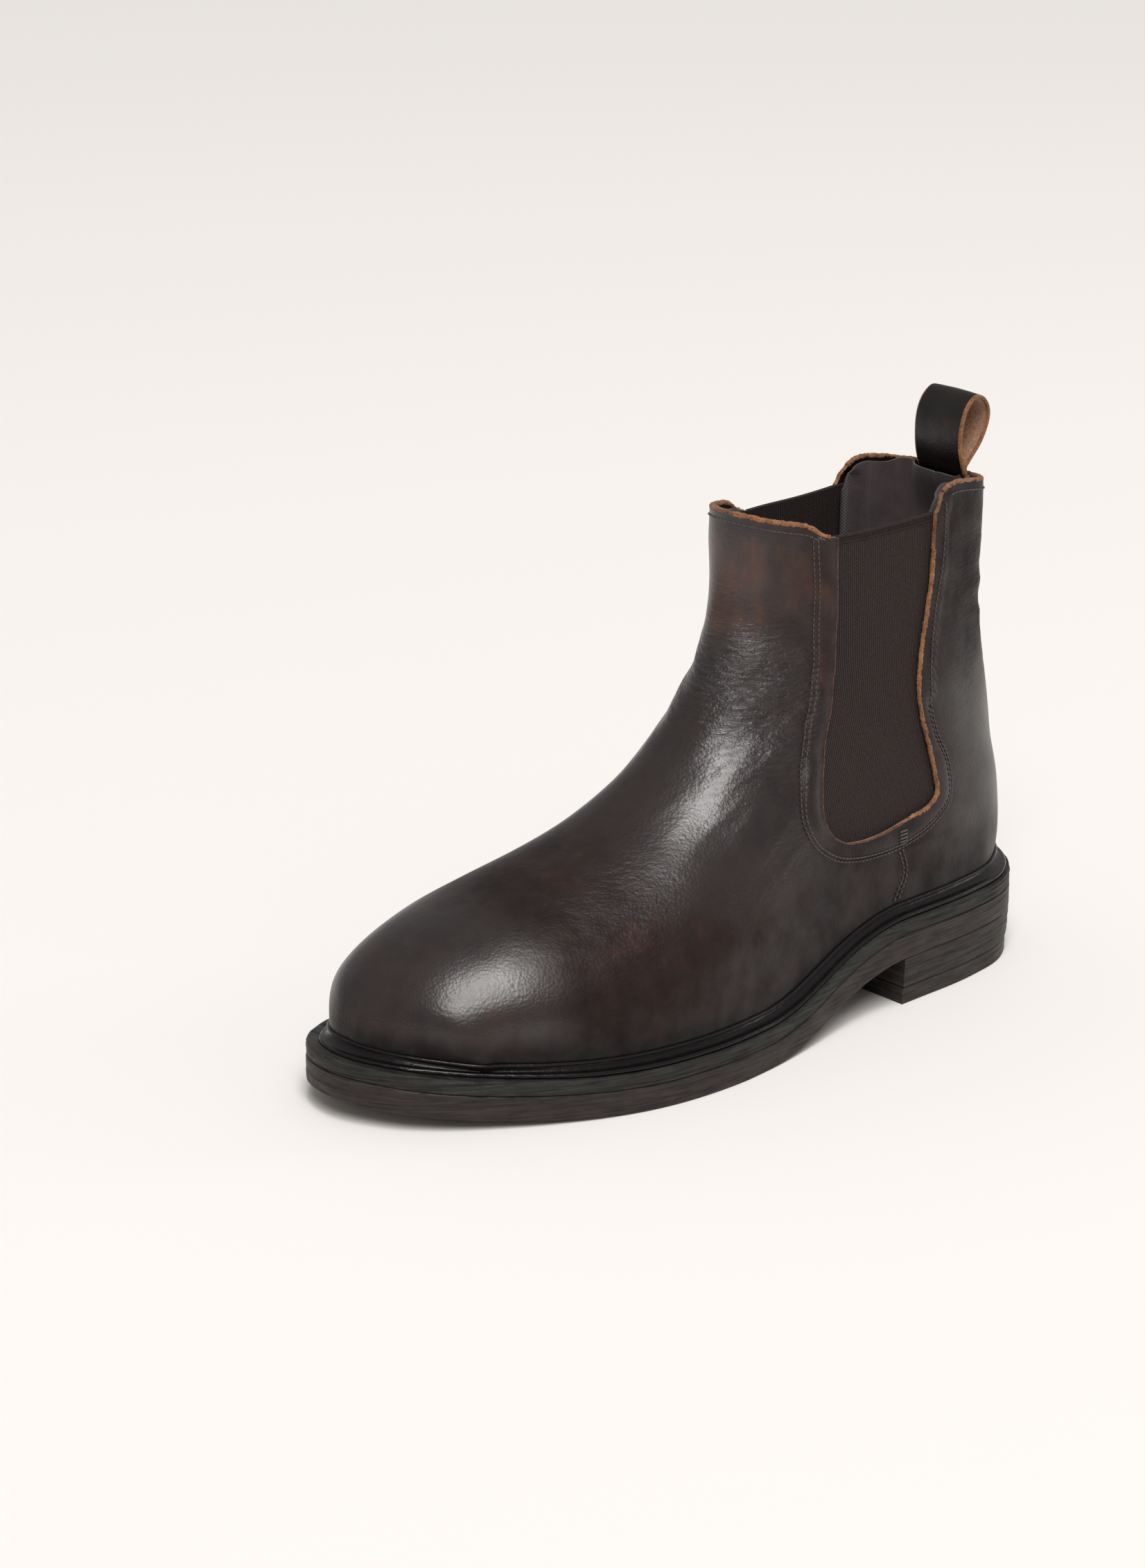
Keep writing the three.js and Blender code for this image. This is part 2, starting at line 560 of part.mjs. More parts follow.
function buildBottom() {
  const ring = insetLoop(smoothLoop(SOLE_OUTLINE, WELT_STEPS), featherInset);
  const boardLow = (s) => midsoleTop(s) + GAP + FILLER_HEIGHT + GAP;
  const sockLow = (s) => boardLow(s) + BOARD_HEIGHT + GAP;
  const boardLoop = insetLoop(FEATHER_LOOP, () => BOARD_INSET);
  const fillerLoop = insetLoop(FEATHER_LOOP, () => FILLER_INSET);
  const cavity = upperCore(LINING[1] + GAP);
  const headSeat = boardLow(0) + BOARD_HEIGHT - NAIL_HEAD_HEIGHT - GAP;

  addPiece('outsole', withNailHoles(plate(SOLE_LOOP, soleUnderside, (s) => soleUnderside(s) + OUTSOLE)),
    outsoleLeather);
  addPiece('midsole', withNailHoles(plate(SOLE_LOOP, (s) => soleUnderside(s) + OUTSOLE + GAP, midsoleTop)),
    midsoleLeather);
  const insole = plate(boardLoop, boardLow, (s) => boardLow(s) + BOARD_HEIGHT).intersect(cavity);
  addPiece('insole_board', withNailHoles(insole, headSeat), board);
  const sock = plate(boardLoop, sockLow, (s) => sockLow(s) + SOCK_HEIGHT).intersect(cavity);
  addPiece('sock_liner', sock, sockLeather);

  const onMidsole = (height) => (s) => midsoleTop(s) + GAP + height;
  const filler = plate(fillerLoop, onMidsole(0), onMidsole(FILLER_HEIGHT), SOLE_LENGTH + 1, FILLER_START);
  addPiece('cork_filler', filler, cork);
  addPiece('shank', plate(smoothLoop(SHANK_OUTLINE, 60), onMidsole(0), onMidsole(SHANK_HEIGHT)), steel);

  const strip = sweptRing(ring, WELT_PROFILE).intersect(aboveMidsole()).subtract(upperCore(-GAP));
  addPiece('welt', mainBody(strip), weltRubber);
}

function buildHeel() {
  const liftHeight = (HEEL_HEIGHT - TOP_PIECE - (LIFT_COUNT + 1) * GAP) / LIFT_COUNT;
  const layer = (low, high) => {
    const taper = HEEL_TAPER * (1 - (low + high) / 2 / HEEL_HEIGHT);
    return plate(insetLoop(SOLE_LOOP, () => taper), () => low, () => high, HEEL_LENGTH);
  };
  addPiece('heel_top_piece', layer(0, TOP_PIECE), topPieceRubber);
  for (let k = 0; k < LIFT_COUNT; k += 1) {
    const low = TOP_PIECE + GAP + k * (liftHeight + GAP);
    addPiece(`heel_lift_${k + 1}`, withNailHoles(layer(low, low + liftHeight)), outsoleLeather);
  }
  const boardTop = midsoleTop(0) + 2 * GAP + FILLER_HEIGHT + BOARD_HEIGHT;
  NAILS.forEach(([s, x], k) => {
    const shaft = upright(NAIL_RADIUS, NAIL_TIP, boardTop - 0.5, s, x);
    const head = upright(NAIL_HEAD_RADIUS, boardTop - NAIL_HEAD_HEIGHT, boardTop, s, x);
    addPiece(`heel_nail_${k + 1}`, shaft.add(head), steel);
  });
}

buildUpperLeather();
buildMiddleLayer();
buildLinings();
buildPullTab();
buildBottom();
buildHeel();

// The origin is on the floor under the middle of the boot.
const middle = new THREE.Box3().setFromObject(boot).getCenter(new THREE.Vector3());
boot.position.set(-middle.x, -middle.y, 0);

export default boot;
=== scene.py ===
"""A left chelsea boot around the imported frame: leather upper, elastic gores, pull tab, welt, soles, heel.

Design coordinates are millimetres: x to the outer side, s forward from the back of the heel, z up.
"""

import math

import bmesh
import bpy
import numpy as np
from mathutils import Matrix, Vector
from mathutils.bvhtree import BVHTree


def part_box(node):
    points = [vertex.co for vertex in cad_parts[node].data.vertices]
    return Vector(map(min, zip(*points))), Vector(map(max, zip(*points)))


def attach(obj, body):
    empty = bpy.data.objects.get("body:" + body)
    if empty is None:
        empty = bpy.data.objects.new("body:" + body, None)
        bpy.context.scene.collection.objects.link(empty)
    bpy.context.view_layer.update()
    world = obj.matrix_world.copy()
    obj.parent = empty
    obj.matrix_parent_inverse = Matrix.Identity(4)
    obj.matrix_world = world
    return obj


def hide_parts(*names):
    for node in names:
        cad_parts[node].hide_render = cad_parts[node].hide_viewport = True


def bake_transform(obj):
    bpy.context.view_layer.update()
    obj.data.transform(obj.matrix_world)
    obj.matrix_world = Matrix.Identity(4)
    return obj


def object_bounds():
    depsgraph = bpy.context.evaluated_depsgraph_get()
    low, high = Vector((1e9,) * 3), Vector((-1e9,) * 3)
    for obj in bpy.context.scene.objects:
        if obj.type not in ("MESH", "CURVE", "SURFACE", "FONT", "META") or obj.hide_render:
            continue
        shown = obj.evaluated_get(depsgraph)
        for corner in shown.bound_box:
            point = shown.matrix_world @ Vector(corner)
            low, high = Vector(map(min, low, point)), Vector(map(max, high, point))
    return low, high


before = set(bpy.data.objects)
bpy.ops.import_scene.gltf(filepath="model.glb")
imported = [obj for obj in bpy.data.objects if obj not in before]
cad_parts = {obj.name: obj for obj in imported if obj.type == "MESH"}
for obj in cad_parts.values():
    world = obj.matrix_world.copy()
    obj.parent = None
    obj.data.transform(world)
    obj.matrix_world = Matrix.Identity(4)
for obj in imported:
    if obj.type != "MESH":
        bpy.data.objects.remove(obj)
CAD_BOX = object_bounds()

# ------------------------------------------------------------------ dimensions, as in the CAD
SOLE_LENGTH = 302
HEEL_LENGTH = 83
HEEL_HEIGHT = 17.6
WAIST_START = 160
SEAT_START = 80
TOE_SPRING = 7.9
SPRING_START = 205
OUTSOLE = 8.8
MIDSOLE = 5.0
GAP = 0.3
LEG_CENTRE = -3.5
TOP_PIECE = 6.4
HEEL_TAPER = 1.1
LIFT_COUNT = 3
LEATHER = 1.8
TAB_WIDTH = 23.4
TAB_THICKNESS = 1.6
FEATHER_INSET = 5.5
FEATHER_INSET_TOE = 3

SOLE_OUTLINE = [
    (0, -3.5), (6, 14), (22, 29), (45, 36), (75, 39.5), (110, 43), (145, 51), (180, 57), (210, 56),
    (235, 49.5), (258, 39), (278, 27), (292, 14), (301, -3), (302, -14), (298, -27), (286, -39),
    (268, -48.5), (243, -54), (215, -52), (180, -42.5), (145, -33), (110, -31), (75, -34.5), (45, -37),
    (22, -33), (6, -20),
]

# Foot s, z | crest s, z | crest x | widest x, lateral and medial | share of the way up to the widest place |
# roundness of the crest half and of the foot half.
STATIONS = np.array([
    (262, 14.1, 293.4, 18.2, -12.5, 27.5, -41, 0.02, 2.1, 2),
    (262, 14.1, 291.8, 34, -12, 28.5, -41.5, 0.12, 2.1, 2),
    (262, 14.1, 283, 47.5, -11.5, 30.2, -42.5, 0.26, 2.1, 2),
    (261, 14, 267, 57, -10.8, 32.4, -43.2, 0.34, 2.1, 2),
    (252, 13.2, 247, 63.5, -9.5, 39.3, -46.8, 0.36, 2.1, 2),
    (234, 12.1, 226, 69, -8.5, 46.5, -49, 0.36, 2, 2),
    (208, 11.4, 203, 76, -7.5, 51.2, -46.6, 0.36, 1.9, 2),
    (180, 11.4, 184, 84.5, -6.5, 51.5, -41.5, 0.37, 1.85, 2),
    (150, 12.1, 168, 95.5, -5.5, 47, -36.5, 0.38, 1.85, 2),
    (118, 20.9, 155, 108.5, -4.5, 41, -34, 0.41, 1.85, 2),
    (84, 28.9, 146, 120.5, -4, 37.2, -34, 0.42, 1.85, 2),
    (50, 29, 140.8, 131.5, -3.7, 34, -33, 0.42, 1.85, 2.05),
    (20, 29, 138, 141, -3.6, 31, -32, 0.44, 1.9, 2.1),
    (11, 29, 137.6, 142.8, -3.5, 30.3, -31.9, 0.44, 1.91, 2.12),
    (6.8, 29, 137.3, 144.2, -3.5, 29.7, -31.8, 0.44, 1.92, 2.13),
    (5.5, 29, 137, 145.5, -3.5, 29, -31.6, 0.44, 1.93, 2.14),
    (3.2, 46, 136, 150, -3.5, 27.3, -31, 0.45, 1.95, 2.2),
    (4, 66, 134.8, 157, -3.5, 25, -30.5, 0.48, 2, 2.15),
    (11.5, 92, 134, 163.5, -3.5, 23.5, -30, 0.53, 2.05, 2),
    (19, 118, 133.7, 171, -3.5, 22, -29, 0.58, 2.1, 1.9),
    (21, 142, 133.5, 178.5, -3.5, 21.5, -28.5, 0.61, 2.1, 1.8),
    (20, 172, 133.5, 187, -3.5, 21.5, -28.5, 0.62, 2.1, 1.8),
    (18, 192, 133.5, 198, -3.5, 21.5, -28.5, 0.62, 2.1, 1.8),
])
CLOSED_STATION = 15
TOE_BLEND = (0, 2)
HEEL_BLEND = (8, 11)
LEG_BLEND = 3

GORE_FRONT_EDGE = [
    (80, 66.3), (90.5, 65), (102.5, 65.2), (111.5, 67), (118, 71.5), (120.5, 78.5), (118.3, 89),
    (112.5, 102), (104.5, 119.5), (102, 137), (101.8, 171.5),
]
GORE_REAR_EDGE = [
    (53, 171.5), (53.8, 160.5), (54.5, 150), (57.3, 137), (62, 122.5), (64.2, 108.5), (63.3, 98.5),
    (60.5, 86), (59.3, 79.5), (59.3, 72), (64, 68.6), (76, 66.8),
]
GORE_CUT = [
    (45, 171.5), (45.5, 160), (46.5, 150), (49.5, 137), (54, 122), (56.5, 108), (55, 93), (50.8, 81),
    (51, 69), (60.3, 62), (73.7, 58.2), (88.3, 57.1), (105.3, 58.6), (117, 62.1), (127, 69.8),
    (130.2, 78.7), (127.6, 90.7), (122.5, 102.4), (111.8, 124), (110, 145.5), (111, 171.5),
]
TOPLINE = [
    (-20, 176.5), (20, 177), (32, 179), (42, 180), (47, 178.5), (50.5, 175), (53, 171.5),
    (101.8, 171.5), (104.5, 172), (107.5, 173), (109.8, 175), (113, 176.8), (118, 178), (124, 179.2),
    (133, 181.5), (150, 184),
]
SIDE_SEAM = [(84, -5), (83.4, 37.4), (81.3, 41), (78.8, 47), (80, 54), (80.5, 66), (80.5, 200)]
GORE_STITCH = [
    (111, 172), (110, 145.5), (111.8, 124), (122.5, 102.4), (127.6, 90.7), (130.2, 78.7), (127, 69.8),
    (117, 62.1), (105.3, 58.6), (88.3, 57.1), (73.7, 58.2), (60.3, 62), (51, 69), (50.8, 81), (56, 93),
    (58.5, 104),
]
TAB_LOOP = [
    (28.6, 181.2), (29.6, 185), (30.2, 191), (29.6, 197.5), (27, 203.4), (22.6, 206.4), (18.6, 205),
    (16.4, 200.8), (16.8, 195.5), (19.8, 189.6), (24.2, 184.6), (26.9, 181.2),
]


# ------------------------------------------------------------------ curves
def catmull(points, per_segment, closed=False):
    """Centripetal Catmull-Rom curve through points, as a dense array."""
    p = np.array(points, float)
    if closed:
        p = np.vstack([p[-1], p, p[0], p[1]])
    else:
        p = np.vstack([2 * p[0] - p[1], p, 2 * p[-1] - p[-2]])
    out = []
    u = np.arange(per_segment)[:, None] / per_segment
    for a, b, c, d in zip(p[:-3], p[1:-2], p[2:-1], p[3:]):
        ta, tb, tc = (max(np.linalg.norm(w), 1e-6) ** 0.5 for w in (b - a, c - b, d - c))
        mb = ((b - a) / ta - (c - a) / (ta + tb) + (c - b) / tb) * tb
        mc = ((c - b) / tb - (d - b) / (tb + tc) + (d - c) / tc) * tb
        out.append(b + u * (mb + u * (3 * (c - b) - 2 * mb - mc + u * (mb + mc - 2 * (c - b)))))
    if not closed:
        out.append(p[-2:-1])
    return np.vstack(out)


def resample(points, step):
    """The same polyline with points about step apart."""
    p = np.asarray(points, float)
    travelled = np.concatenate([[0], np.cumsum(np.linalg.norm(np.diff(p, axis=0), axis=1))])
    count = max(int(round(travelled[-1] / step)), 2)
    at = np.linspace(0, travelled[-1], count + 1)
    return np.column_stack([np.interp(at, travelled, p[:, k]) for k in range(p.shape[1])])


def inset_loop(loop, inset):
    """A closed loop of (s, x) moved inwards by inset(s)."""
    along = np.roll(loop, -1, axis=0) - np.roll(loop, 1, axis=0)
    along /= np.linalg.norm(along, axis=1)[:, None]
    turn = np.sign(np.sum(loop[:, 0] * np.roll(loop[:, 1], -1) - np.roll(loop[:, 0], -1) * loop[:, 1]))
    step = (inset(loop[:, 0]) * turn)[:, None]
    return loop + np.column_stack([-along[:, 1], along[:, 0]]) * step


def smoothstep(v, a, b):
    u = np.clip((np.asarray(v, float) - a) / (b - a), 0, 1)
    return u * u * (3 - 2 * u)


def branches(loop):
    """The lateral and medial sides of a loop as two functions x(s), with the loop's lowest and highest s."""
    back, front = loop[:, 0].argmin(), loop[:, 0].argmax()
    sides = []
    for start, end in ((back, front), (front, back)):
        count = (end - start) % len(loop) + 1
        side = loop[(start + np.arange(count)) % len(loop)]
        side = side[side[:, 0].argsort(kind="stable")]
        sides.append(side)
    sides.sort(key=lambda side: -side[:, 1].mean())
    lateral, medial = ((lambda s, side=side: np.interp(s, side[:, 0], side[:, 1])) for side in sides)
    return lateral, medial, loop[back, 0], loop[front, 0]


SOLE_LOOP = catmull(SOLE_OUTLINE, 30, closed=True)
FEATHER_LOOP = inset_loop(SOLE_LOOP, lambda s: FEATHER_INSET + FEATHER_INSET_TOE * smoothstep(s, 230, 290))
FEATHER_LATERAL, FEATHER_MEDIAL, FEATHER_BACK, FEATHER_FRONT = branches(FEATHER_LOOP)


def sole_underside(s):
    s = np.asarray(s, float)
    spring = TOE_SPRING * (np.clip(s - SPRING_START, 0, None) / (SOLE_LENGTH - SPRING_START)) ** 2
    return spring + HEEL_HEIGHT * (1 - smoothstep(s, SEAT_START, WAIST_START))


def midsole_top(s):
    return sole_underside(s) + OUTSOLE + GAP + MIDSOLE


# From design millimetres to the frame: the sole's middle is where the frame has it.
SOLE_BOX = [np.array(corner) * 1000 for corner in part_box("outsole")]
SHIFT_X = (SOLE_BOX[0][0] + SOLE_BOX[1][0] - SOLE_LOOP[:, 1].min() - SOLE_LOOP[:, 1].max()) / 2
SHIFT_Y = (SOLE_BOX[0][1] + SOLE_BOX[1][1] + SOLE_LOOP[:, 0].min() + SOLE_LOOP[:, 0].max()) / 2


def to_frame(p):
    """Points (x, s, z) in design millimetres as frame metres."""
    p = np.asarray(p, float)
    return np.stack([p[..., 0] + SHIFT_X, SHIFT_Y - p[..., 1], p[..., 2]], axis=-1) * 0.001


# ------------------------------------------------------------------ noise
def noise(p, seed=0):
    """Smooth value noise in -1..1 at points (..., 3)."""
    p = np.asarray(p, float)
    cell = np.floor(p).astype(np.int64)
    f = p - cell
    f = f * f * (3 - 2 * f)

    def corner(dx, dy, dz):
        n = (cell[..., 0] + dx) * 374761393 + (cell[..., 1] + dy) * 668265263
        n = (n + (cell[..., 2] + dz) * 2147483647 + seed * 1274126177) & 0xFFFFFFFF
        n = ((n ^ (n >> 13)) * 1103515245) & 0xFFFFFFFF
        n = n ^ (n >> 16)
        return (n & 0xFFFF) / 32767.5 - 1

    total = 0
    for dx in (0, 1):
        for dy in (0, 1):
            for dz in (0, 1):
                weight = (f[..., 0] if dx else 1 - f[..., 0]) * (f[..., 1] if dy else 1 - f[..., 1])
                total = total + weight * (f[..., 2] if dz else 1 - f[..., 2]) * corner(dx, dy, dz)
    return total


def fractal(p, octaves=3, seed=0):
    p = np.asarray(p, float)
    return sum(noise(p * 2**k, seed + k) * 0.5**k for k in range(octaves))


# ------------------------------------------------------------------ the upper's surface
def column_at(t):
    """All columns of STATIONS at fractional rows t, level where a column turns."""
    t = np.atleast_1d(np.asarray(t, float))
    last = len(STATIONS) - 1
    row = np.minimum(np.floor(t).astype(int), last - 1)
    u = (t - row)[:, None]
    a, b, c, d = (STATIONS[np.clip(row + k, 0, last)] for k in (-1, 0, 1, 2))
    slope_b = np.where((b - a) * (c - b) > 0, (c - a) / 2, 0)
    slope_c = np.where((c - b) * (d - c) > 0, (d - b) / 2, 0)
    rise = c - b
    return b + u * (slope_b + u * (3 * rise - 2 * slope_b - slope_c + u * (slope_b + slope_c - 2 * rise)))


def section_side(value, t, lateral, way):
    """Points of one side of a section: way 0 at the crest, 0.5 at the widest place, 1 at the feather line."""
    foot_s, foot_z, crest_s, crest_z, crest_x, wide_l, wide_m, widest_at, crest_round, foot_round = value
    line = FEATHER_LATERAL if lateral else FEATHER_MEDIAL
    sign = 1 if lateral else -1
    feather = sign * (line(foot_s) - crest_x) if t < CLOSED_STATION else 0.0
    half = max(sign * ((wide_l if lateral else wide_m) - crest_x), feather + 0.3)
    share = min(max(feather / half, 0), 1)
    upper = way < 0.5
    angle = way * np.pi
    up_top = widest_at + (1 - widest_at) * np.abs(np.cos(angle)) ** (2 / crest_round)
    out_top = np.abs(np.sin(angle)) ** (2 / crest_round)
    angle = (2 * np.clip(way, 0.5, 1) - 1) * math.acos(share ** (foot_round / 2))
    reach = max(1 - share**foot_round, 1e-9) ** (1 / foot_round)
    up_low = widest_at * (1 - np.sin(angle) ** (2 / foot_round) / reach)
    out_low = np.clip(np.cos(angle), 0, 1) ** (2 / foot_round)
    start = max(foot_s, FEATHER_BACK) + 0.01

    def plan(up):
        s = np.minimum(start + (crest_s - foot_s) * up, FEATHER_FRONT - 0.01)
        return np.abs(line(s) - crest_x)

    heel_share = float(smoothstep(t, *HEEL_BLEND))
    if heel_share > 0:
        leg_share = float(smoothstep(t, CLOSED_STATION, CLOSED_STATION + LEG_BLEND))
        fit = half / plan(widest_at)
        way_up = up_low / widest_at
        start_fit = 1 + (fit - 1) * leg_share
        shaped = plan(up_low) * (start_fit + (fit - start_fit) * way_up)
        heel = shaped + (half - shaped) * smoothstep(way_up, 0.3, 1)
        out_low = np.where(out_low > 1e-6, out_low + (heel / half - out_low) * heel_share, out_low)
    up = np.where(upper, up_top, up_low)
    out = np.where(upper, out_top, out_low)
    toe_share = 1 - float(smoothstep(t, *TOE_BLEND))
    if toe_share > 0:
        out = np.where(way > 0, out + (plan(up) / half - out) * toe_share, out)
    return np.column_stack([crest_x + sign * half * out, foot_s + (crest_s - foot_s) * up,
                            foot_z + (crest_z - foot_z) * up])


ROW_STEP = 1.3
SIDE_COUNT = 150
SMOOTHING_MM = 7
BACK_ROUNDING_MM = 6


def upper_grid():
    """Rows of points on the upper's outer face, lateral feather line to medial, and the outward normals."""
    rows = []
    for k in range(len(STATIONS) - 1):
        a, b = STATIONS[k], STATIONS[k + 1]
        gap = max(math.dist(a[0:2], b[0:2]), math.dist(a[2:4], b[2:4]), 2.5)
        rows += list(k + np.arange(int(math.ceil(gap / ROW_STEP))) / math.ceil(gap / ROW_STEP))
    rows = np.array(rows + [len(STATIONS) - 1.0])
    values = column_at(rows)
    way = np.linspace(0, 1, 500)
    grid = []
    for t, value in zip(rows, values):
        sides = []
        for lateral in (True, False):
            dense = section_side(value, t, lateral, way)
            travelled = np.concatenate([[0], np.cumsum(np.linalg.norm(np.diff(dense, axis=0), axis=1))])
            crowd = 0.55 * float(smoothstep(t, *HEEL_BLEND)) / (2 * np.pi)
            share = np.linspace(0, 1, SIDE_COUNT + 1)
            at = travelled[-1] * (share - crowd * np.sin(2 * np.pi * share))
            sides.append(np.column_stack([np.interp(at, travelled, dense[:, k]) for k in range(3)]))
        grid.append(np.vstack([sides[0][::-1], sides[1][1:]]))
    grid = np.array(grid)
    closed = rows >= CLOSED_STATION
    for _ in range(int(1.2 * (SMOOTHING_MM / ROW_STEP) ** 2)):
        grid[1:-1] = 0.25 * grid[:-2] + 0.5 * grid[1:-1] + 0.25 * grid[2:]
        grid[closed, 0] = grid[closed, -1] = (grid[closed, 0] + grid[closed, -1]) / 2
    # the back of the leg is rounded across, above the counter
    loop = grid[closed, :-1]
    weight = (smoothstep(loop[..., 2], 66, 96) * smoothstep(loop[..., 1], 62, 36))[..., None]
    column_step = float(np.median(np.linalg.norm(np.diff(loop, axis=1), axis=2)))
    for _ in range(int(2 * (BACK_ROUNDING_MM / column_step) ** 2)):
        loop = loop + weight * 0.25 * (np.roll(loop, 1, axis=1) + np.roll(loop, -1, axis=1) - 2 * loop)
    grid[closed, :-1] = loop
    grid[closed, -1] = loop[:, 0]
    along = np.gradient(grid, axis=0)
    across = np.gradient(grid, axis=1)
    seam = (grid[closed, 1] - grid[closed, -2]) / 2
    across[closed, 0] = across[closed, -1] = seam
    normal = np.cross(along, across)
    length = np.linalg.norm(normal, axis=2, keepdims=True)
    normal = normal / np.maximum(length, 1e-9)
    thin = length[..., 0] < 1e-6
    normal[thin] = (0, 0, -1)
    sign = np.sign(np.mean(normal[:, SIDE_COUNT, 2]))
    return rows, grid, normal * sign


ROWS, GRID, NORMAL = upper_grid()


# ------------------------------------------------------------------ materials
class Shader:
    """A node material built by short calls. Object coordinates are the frame's metres."""

    def __init__(self, name, color, roughness, **sockets):
        self.material = bpy.data.materials.new(name)
        self.material.use_nodes = True
        self.tree = self.material.node_tree
        self.bsdf = self.tree.nodes["Principled BSDF"]
        self.coords = self.tree.nodes.new("ShaderNodeTexCoord").outputs["Object"]
        self.set(self.bsdf, {"Base Color": color, "Roughness": roughness, **sockets})
        self.height = None

    def set(self, node, values):
        for key, value in values.items():
            socket = node.inputs[key]
            if isinstance(value, bpy.types.NodeSocket):
                self.tree.links.new(value, socket)
            elif socket.type == "RGBA":
                socket.default_value = (*value, 1)
            else:
                socket.default_value = value
        return node

    def node(self, kind, values=None, **settings):
        made = self.tree.nodes.new("ShaderNode" + kind)
        for key, value in settings.items():
            setattr(made, key, value)
        return self.set(made, values or {})

    def stretched(self, scale=(1, 1, 1), turn=(0, 0, 0)):
        """Object coordinates in millimetres, scaled and turned."""
        made = self.node("Mapping", {"Vector": self.coords})
        made.inputs["Scale"].default_value = [1000 * v for v in scale]
        made.inputs["Rotation"].default_value = turn
        return made.outputs["Vector"]

    def noise(self, scale=(1, 1, 1), detail=3.0, roughness=0.5, distortion=0.0, turn=(0, 0, 0)):
        values = {"Vector": self.stretched(scale, turn), "Scale": 1.0, "Detail": detail,
                  "Roughness": roughness, "Distortion": distortion}
        return self.node("TexNoise", values).outputs["Fac"]

    def cells(self, scale=(1, 1, 1), feature="F1"):
        values = {"Vector": self.stretched(scale), "Scale": 1.0}
        return self.node("TexVoronoi", values, feature=feature).outputs["Distance"]

    def bands(self, scale, direction, profile="SIN", distortion=0.0):
        values = {"Vector": self.stretched(scale), "Scale": 1.0, "Distortion": distortion}
        made = self.node("TexWave", values, bands_direction=direction, wave_profile=profile)
        return made.outputs["Fac"]

    def attribute(self, name):
        return self.node("Attribute", attribute_name=name).outputs["Fac"]

    def map(self, value, low, high, to_low=0.0, to_high=1.0):
        made = self.node("MapRange", {"Value": value, "From Min": low, "From Max": high,
                                      "To Min": to_low, "To Max": to_high})
        return made.outputs["Result"]

    def math(self, operation, a, b):
        made = self.node("Math", operation=operation)
        for k, value in enumerate((a, b)):
            if isinstance(value, bpy.types.NodeSocket):
                self.tree.links.new(value, made.inputs[k])
            else:
                made.inputs[k].default_value = value
        return made.outputs[0]

    def mix(self, factor, a, b):
        """Colour a where factor is 0 and b where it is 1."""
        made = self.node("Mix", data_type="RGBA")
        for key, value in ((0, factor), (6, a), (7, b)):
            if isinstance(value, bpy.types.NodeSocket):
                self.tree.links.new(value, made.inputs[key])
            else:
                made.inputs[key].default_value = (*value, 1) if key else value
        return made.outputs[2]

    def color(self, value):
        self.tree.links.new(value, self.bsdf.inputs["Base Color"])

    def roughness(self, value):
        self.tree.links.new(value, self.bsdf.inputs["Roughness"])

    def bump(self, height, distance_mm, strength=1.0):
        """Adds one more layer of bump; a height of 1 stands distance_mm high."""
        made = self.node("Bump", {"Height": height, "Strength": strength, "Distance": distance_mm * 0.001})
        if self.height is not None:
            self.tree.links.new(self.height, made.inputs["Normal"])
        self.height = made.outputs["Normal"]
        self.tree.links.new(self.height, self.bsdf.inputs["Normal"])


def leather_material():
    m = Shader("burnished_leather", (0.03, 0.013, 0.01), 0.36, **{"Specular IOR Level": 0.27})
    # the tone attribute holds the leather's own colour and also painted shade just above the welt
    tone = m.attribute("tone")
    patches = m.noise((0.05, 0.05, 0.04), 4.0, 0.6)
    streaks = m.noise((0.22, 0.22, 0.06), 4.0, 0.62)
    tone = m.math("ADD", tone, m.map(patches, 0.3, 0.7, -0.2, 0.2))
    tone = m.math("ADD", tone, m.map(streaks, 0.3, 0.7, -0.11, 0.11))
    dark = (0.0075, 0.0048, 0.0052)
    middle = (0.021, 0.0105, 0.009)
    red = (0.092, 0.028, 0.0145)
    base = m.mix(m.map(tone, 0.0, 0.5), dark, middle)
    m.color(m.mix(m.map(tone, 0.5, 1.0), base, red))
    polish = m.math("ADD", m.attribute("polish"), m.map(m.noise((0.1, 0.1, 0.1), 3.0), 0.3, 0.7, -0.12, 0.12))
    m.roughness(m.map(polish, 0.0, 1.0, 0.44, 0.29))
    m.set(m.bsdf, {"Specular IOR Level": m.map(polish, 0.0, 1.0, 0.10, 0.80)})
    crease = m.attribute("crease")
    wrinkle = m.noise((0.2, 0.2, 0.8), 4.0, 0.66, 0.5, turn=(0.5, 0, 0))
    m.bump(m.math("MULTIPLY", wrinkle, crease), 1.4)
    m.bump(m.math("MULTIPLY", m.cells((0.9, 0.9, 0.9)), m.map(crease, 0.0, 0.5, 0.45, 1.0)), 0.10)
    m.bump(m.math("MULTIPLY", m.noise((0.5, 0.5, 0.5), 5.0, 0.65), m.map(crease, 0.0, 0.5, 0.4, 1.0)), 0.10)
    m.bump(m.noise((2.2, 2.2, 2.2), 2.0), 0.02)
    return m.material


def raw_edge_material(name, low, high):
    m = Shader(name, low, 0.85, **{"Specular IOR Level": 0.2, "Sheen Weight": 0.15})
    fibres = m.noise((1.4, 1.4, 1.4), 4.0, 0.7)
    blots = m.noise((0.2, 0.2, 0.2), 3.0)
    shade = m.math("ADD", m.math("MULTIPLY", fibres, 0.6), m.math("MULTIPLY", blots, 0.4))
    m.color(m.mix(m.map(shade, 0.36, 0.62), low, high))
    m.bump(fibres, 0.6)
    return m.material


def suede_material():
    m = Shader("suede_flesh_side", (0.36, 0.19, 0.1), 0.9, **{"Sheen Weight": 0.35})
    nap = m.noise((1.1, 1.1, 1.1), 5.0, 0.7)
    m.color(m.mix(m.map(nap, 0.32, 0.68), (0.2, 0.095, 0.05), (0.5, 0.27, 0.15)))
    m.bump(nap, 0.35)
    return m.material


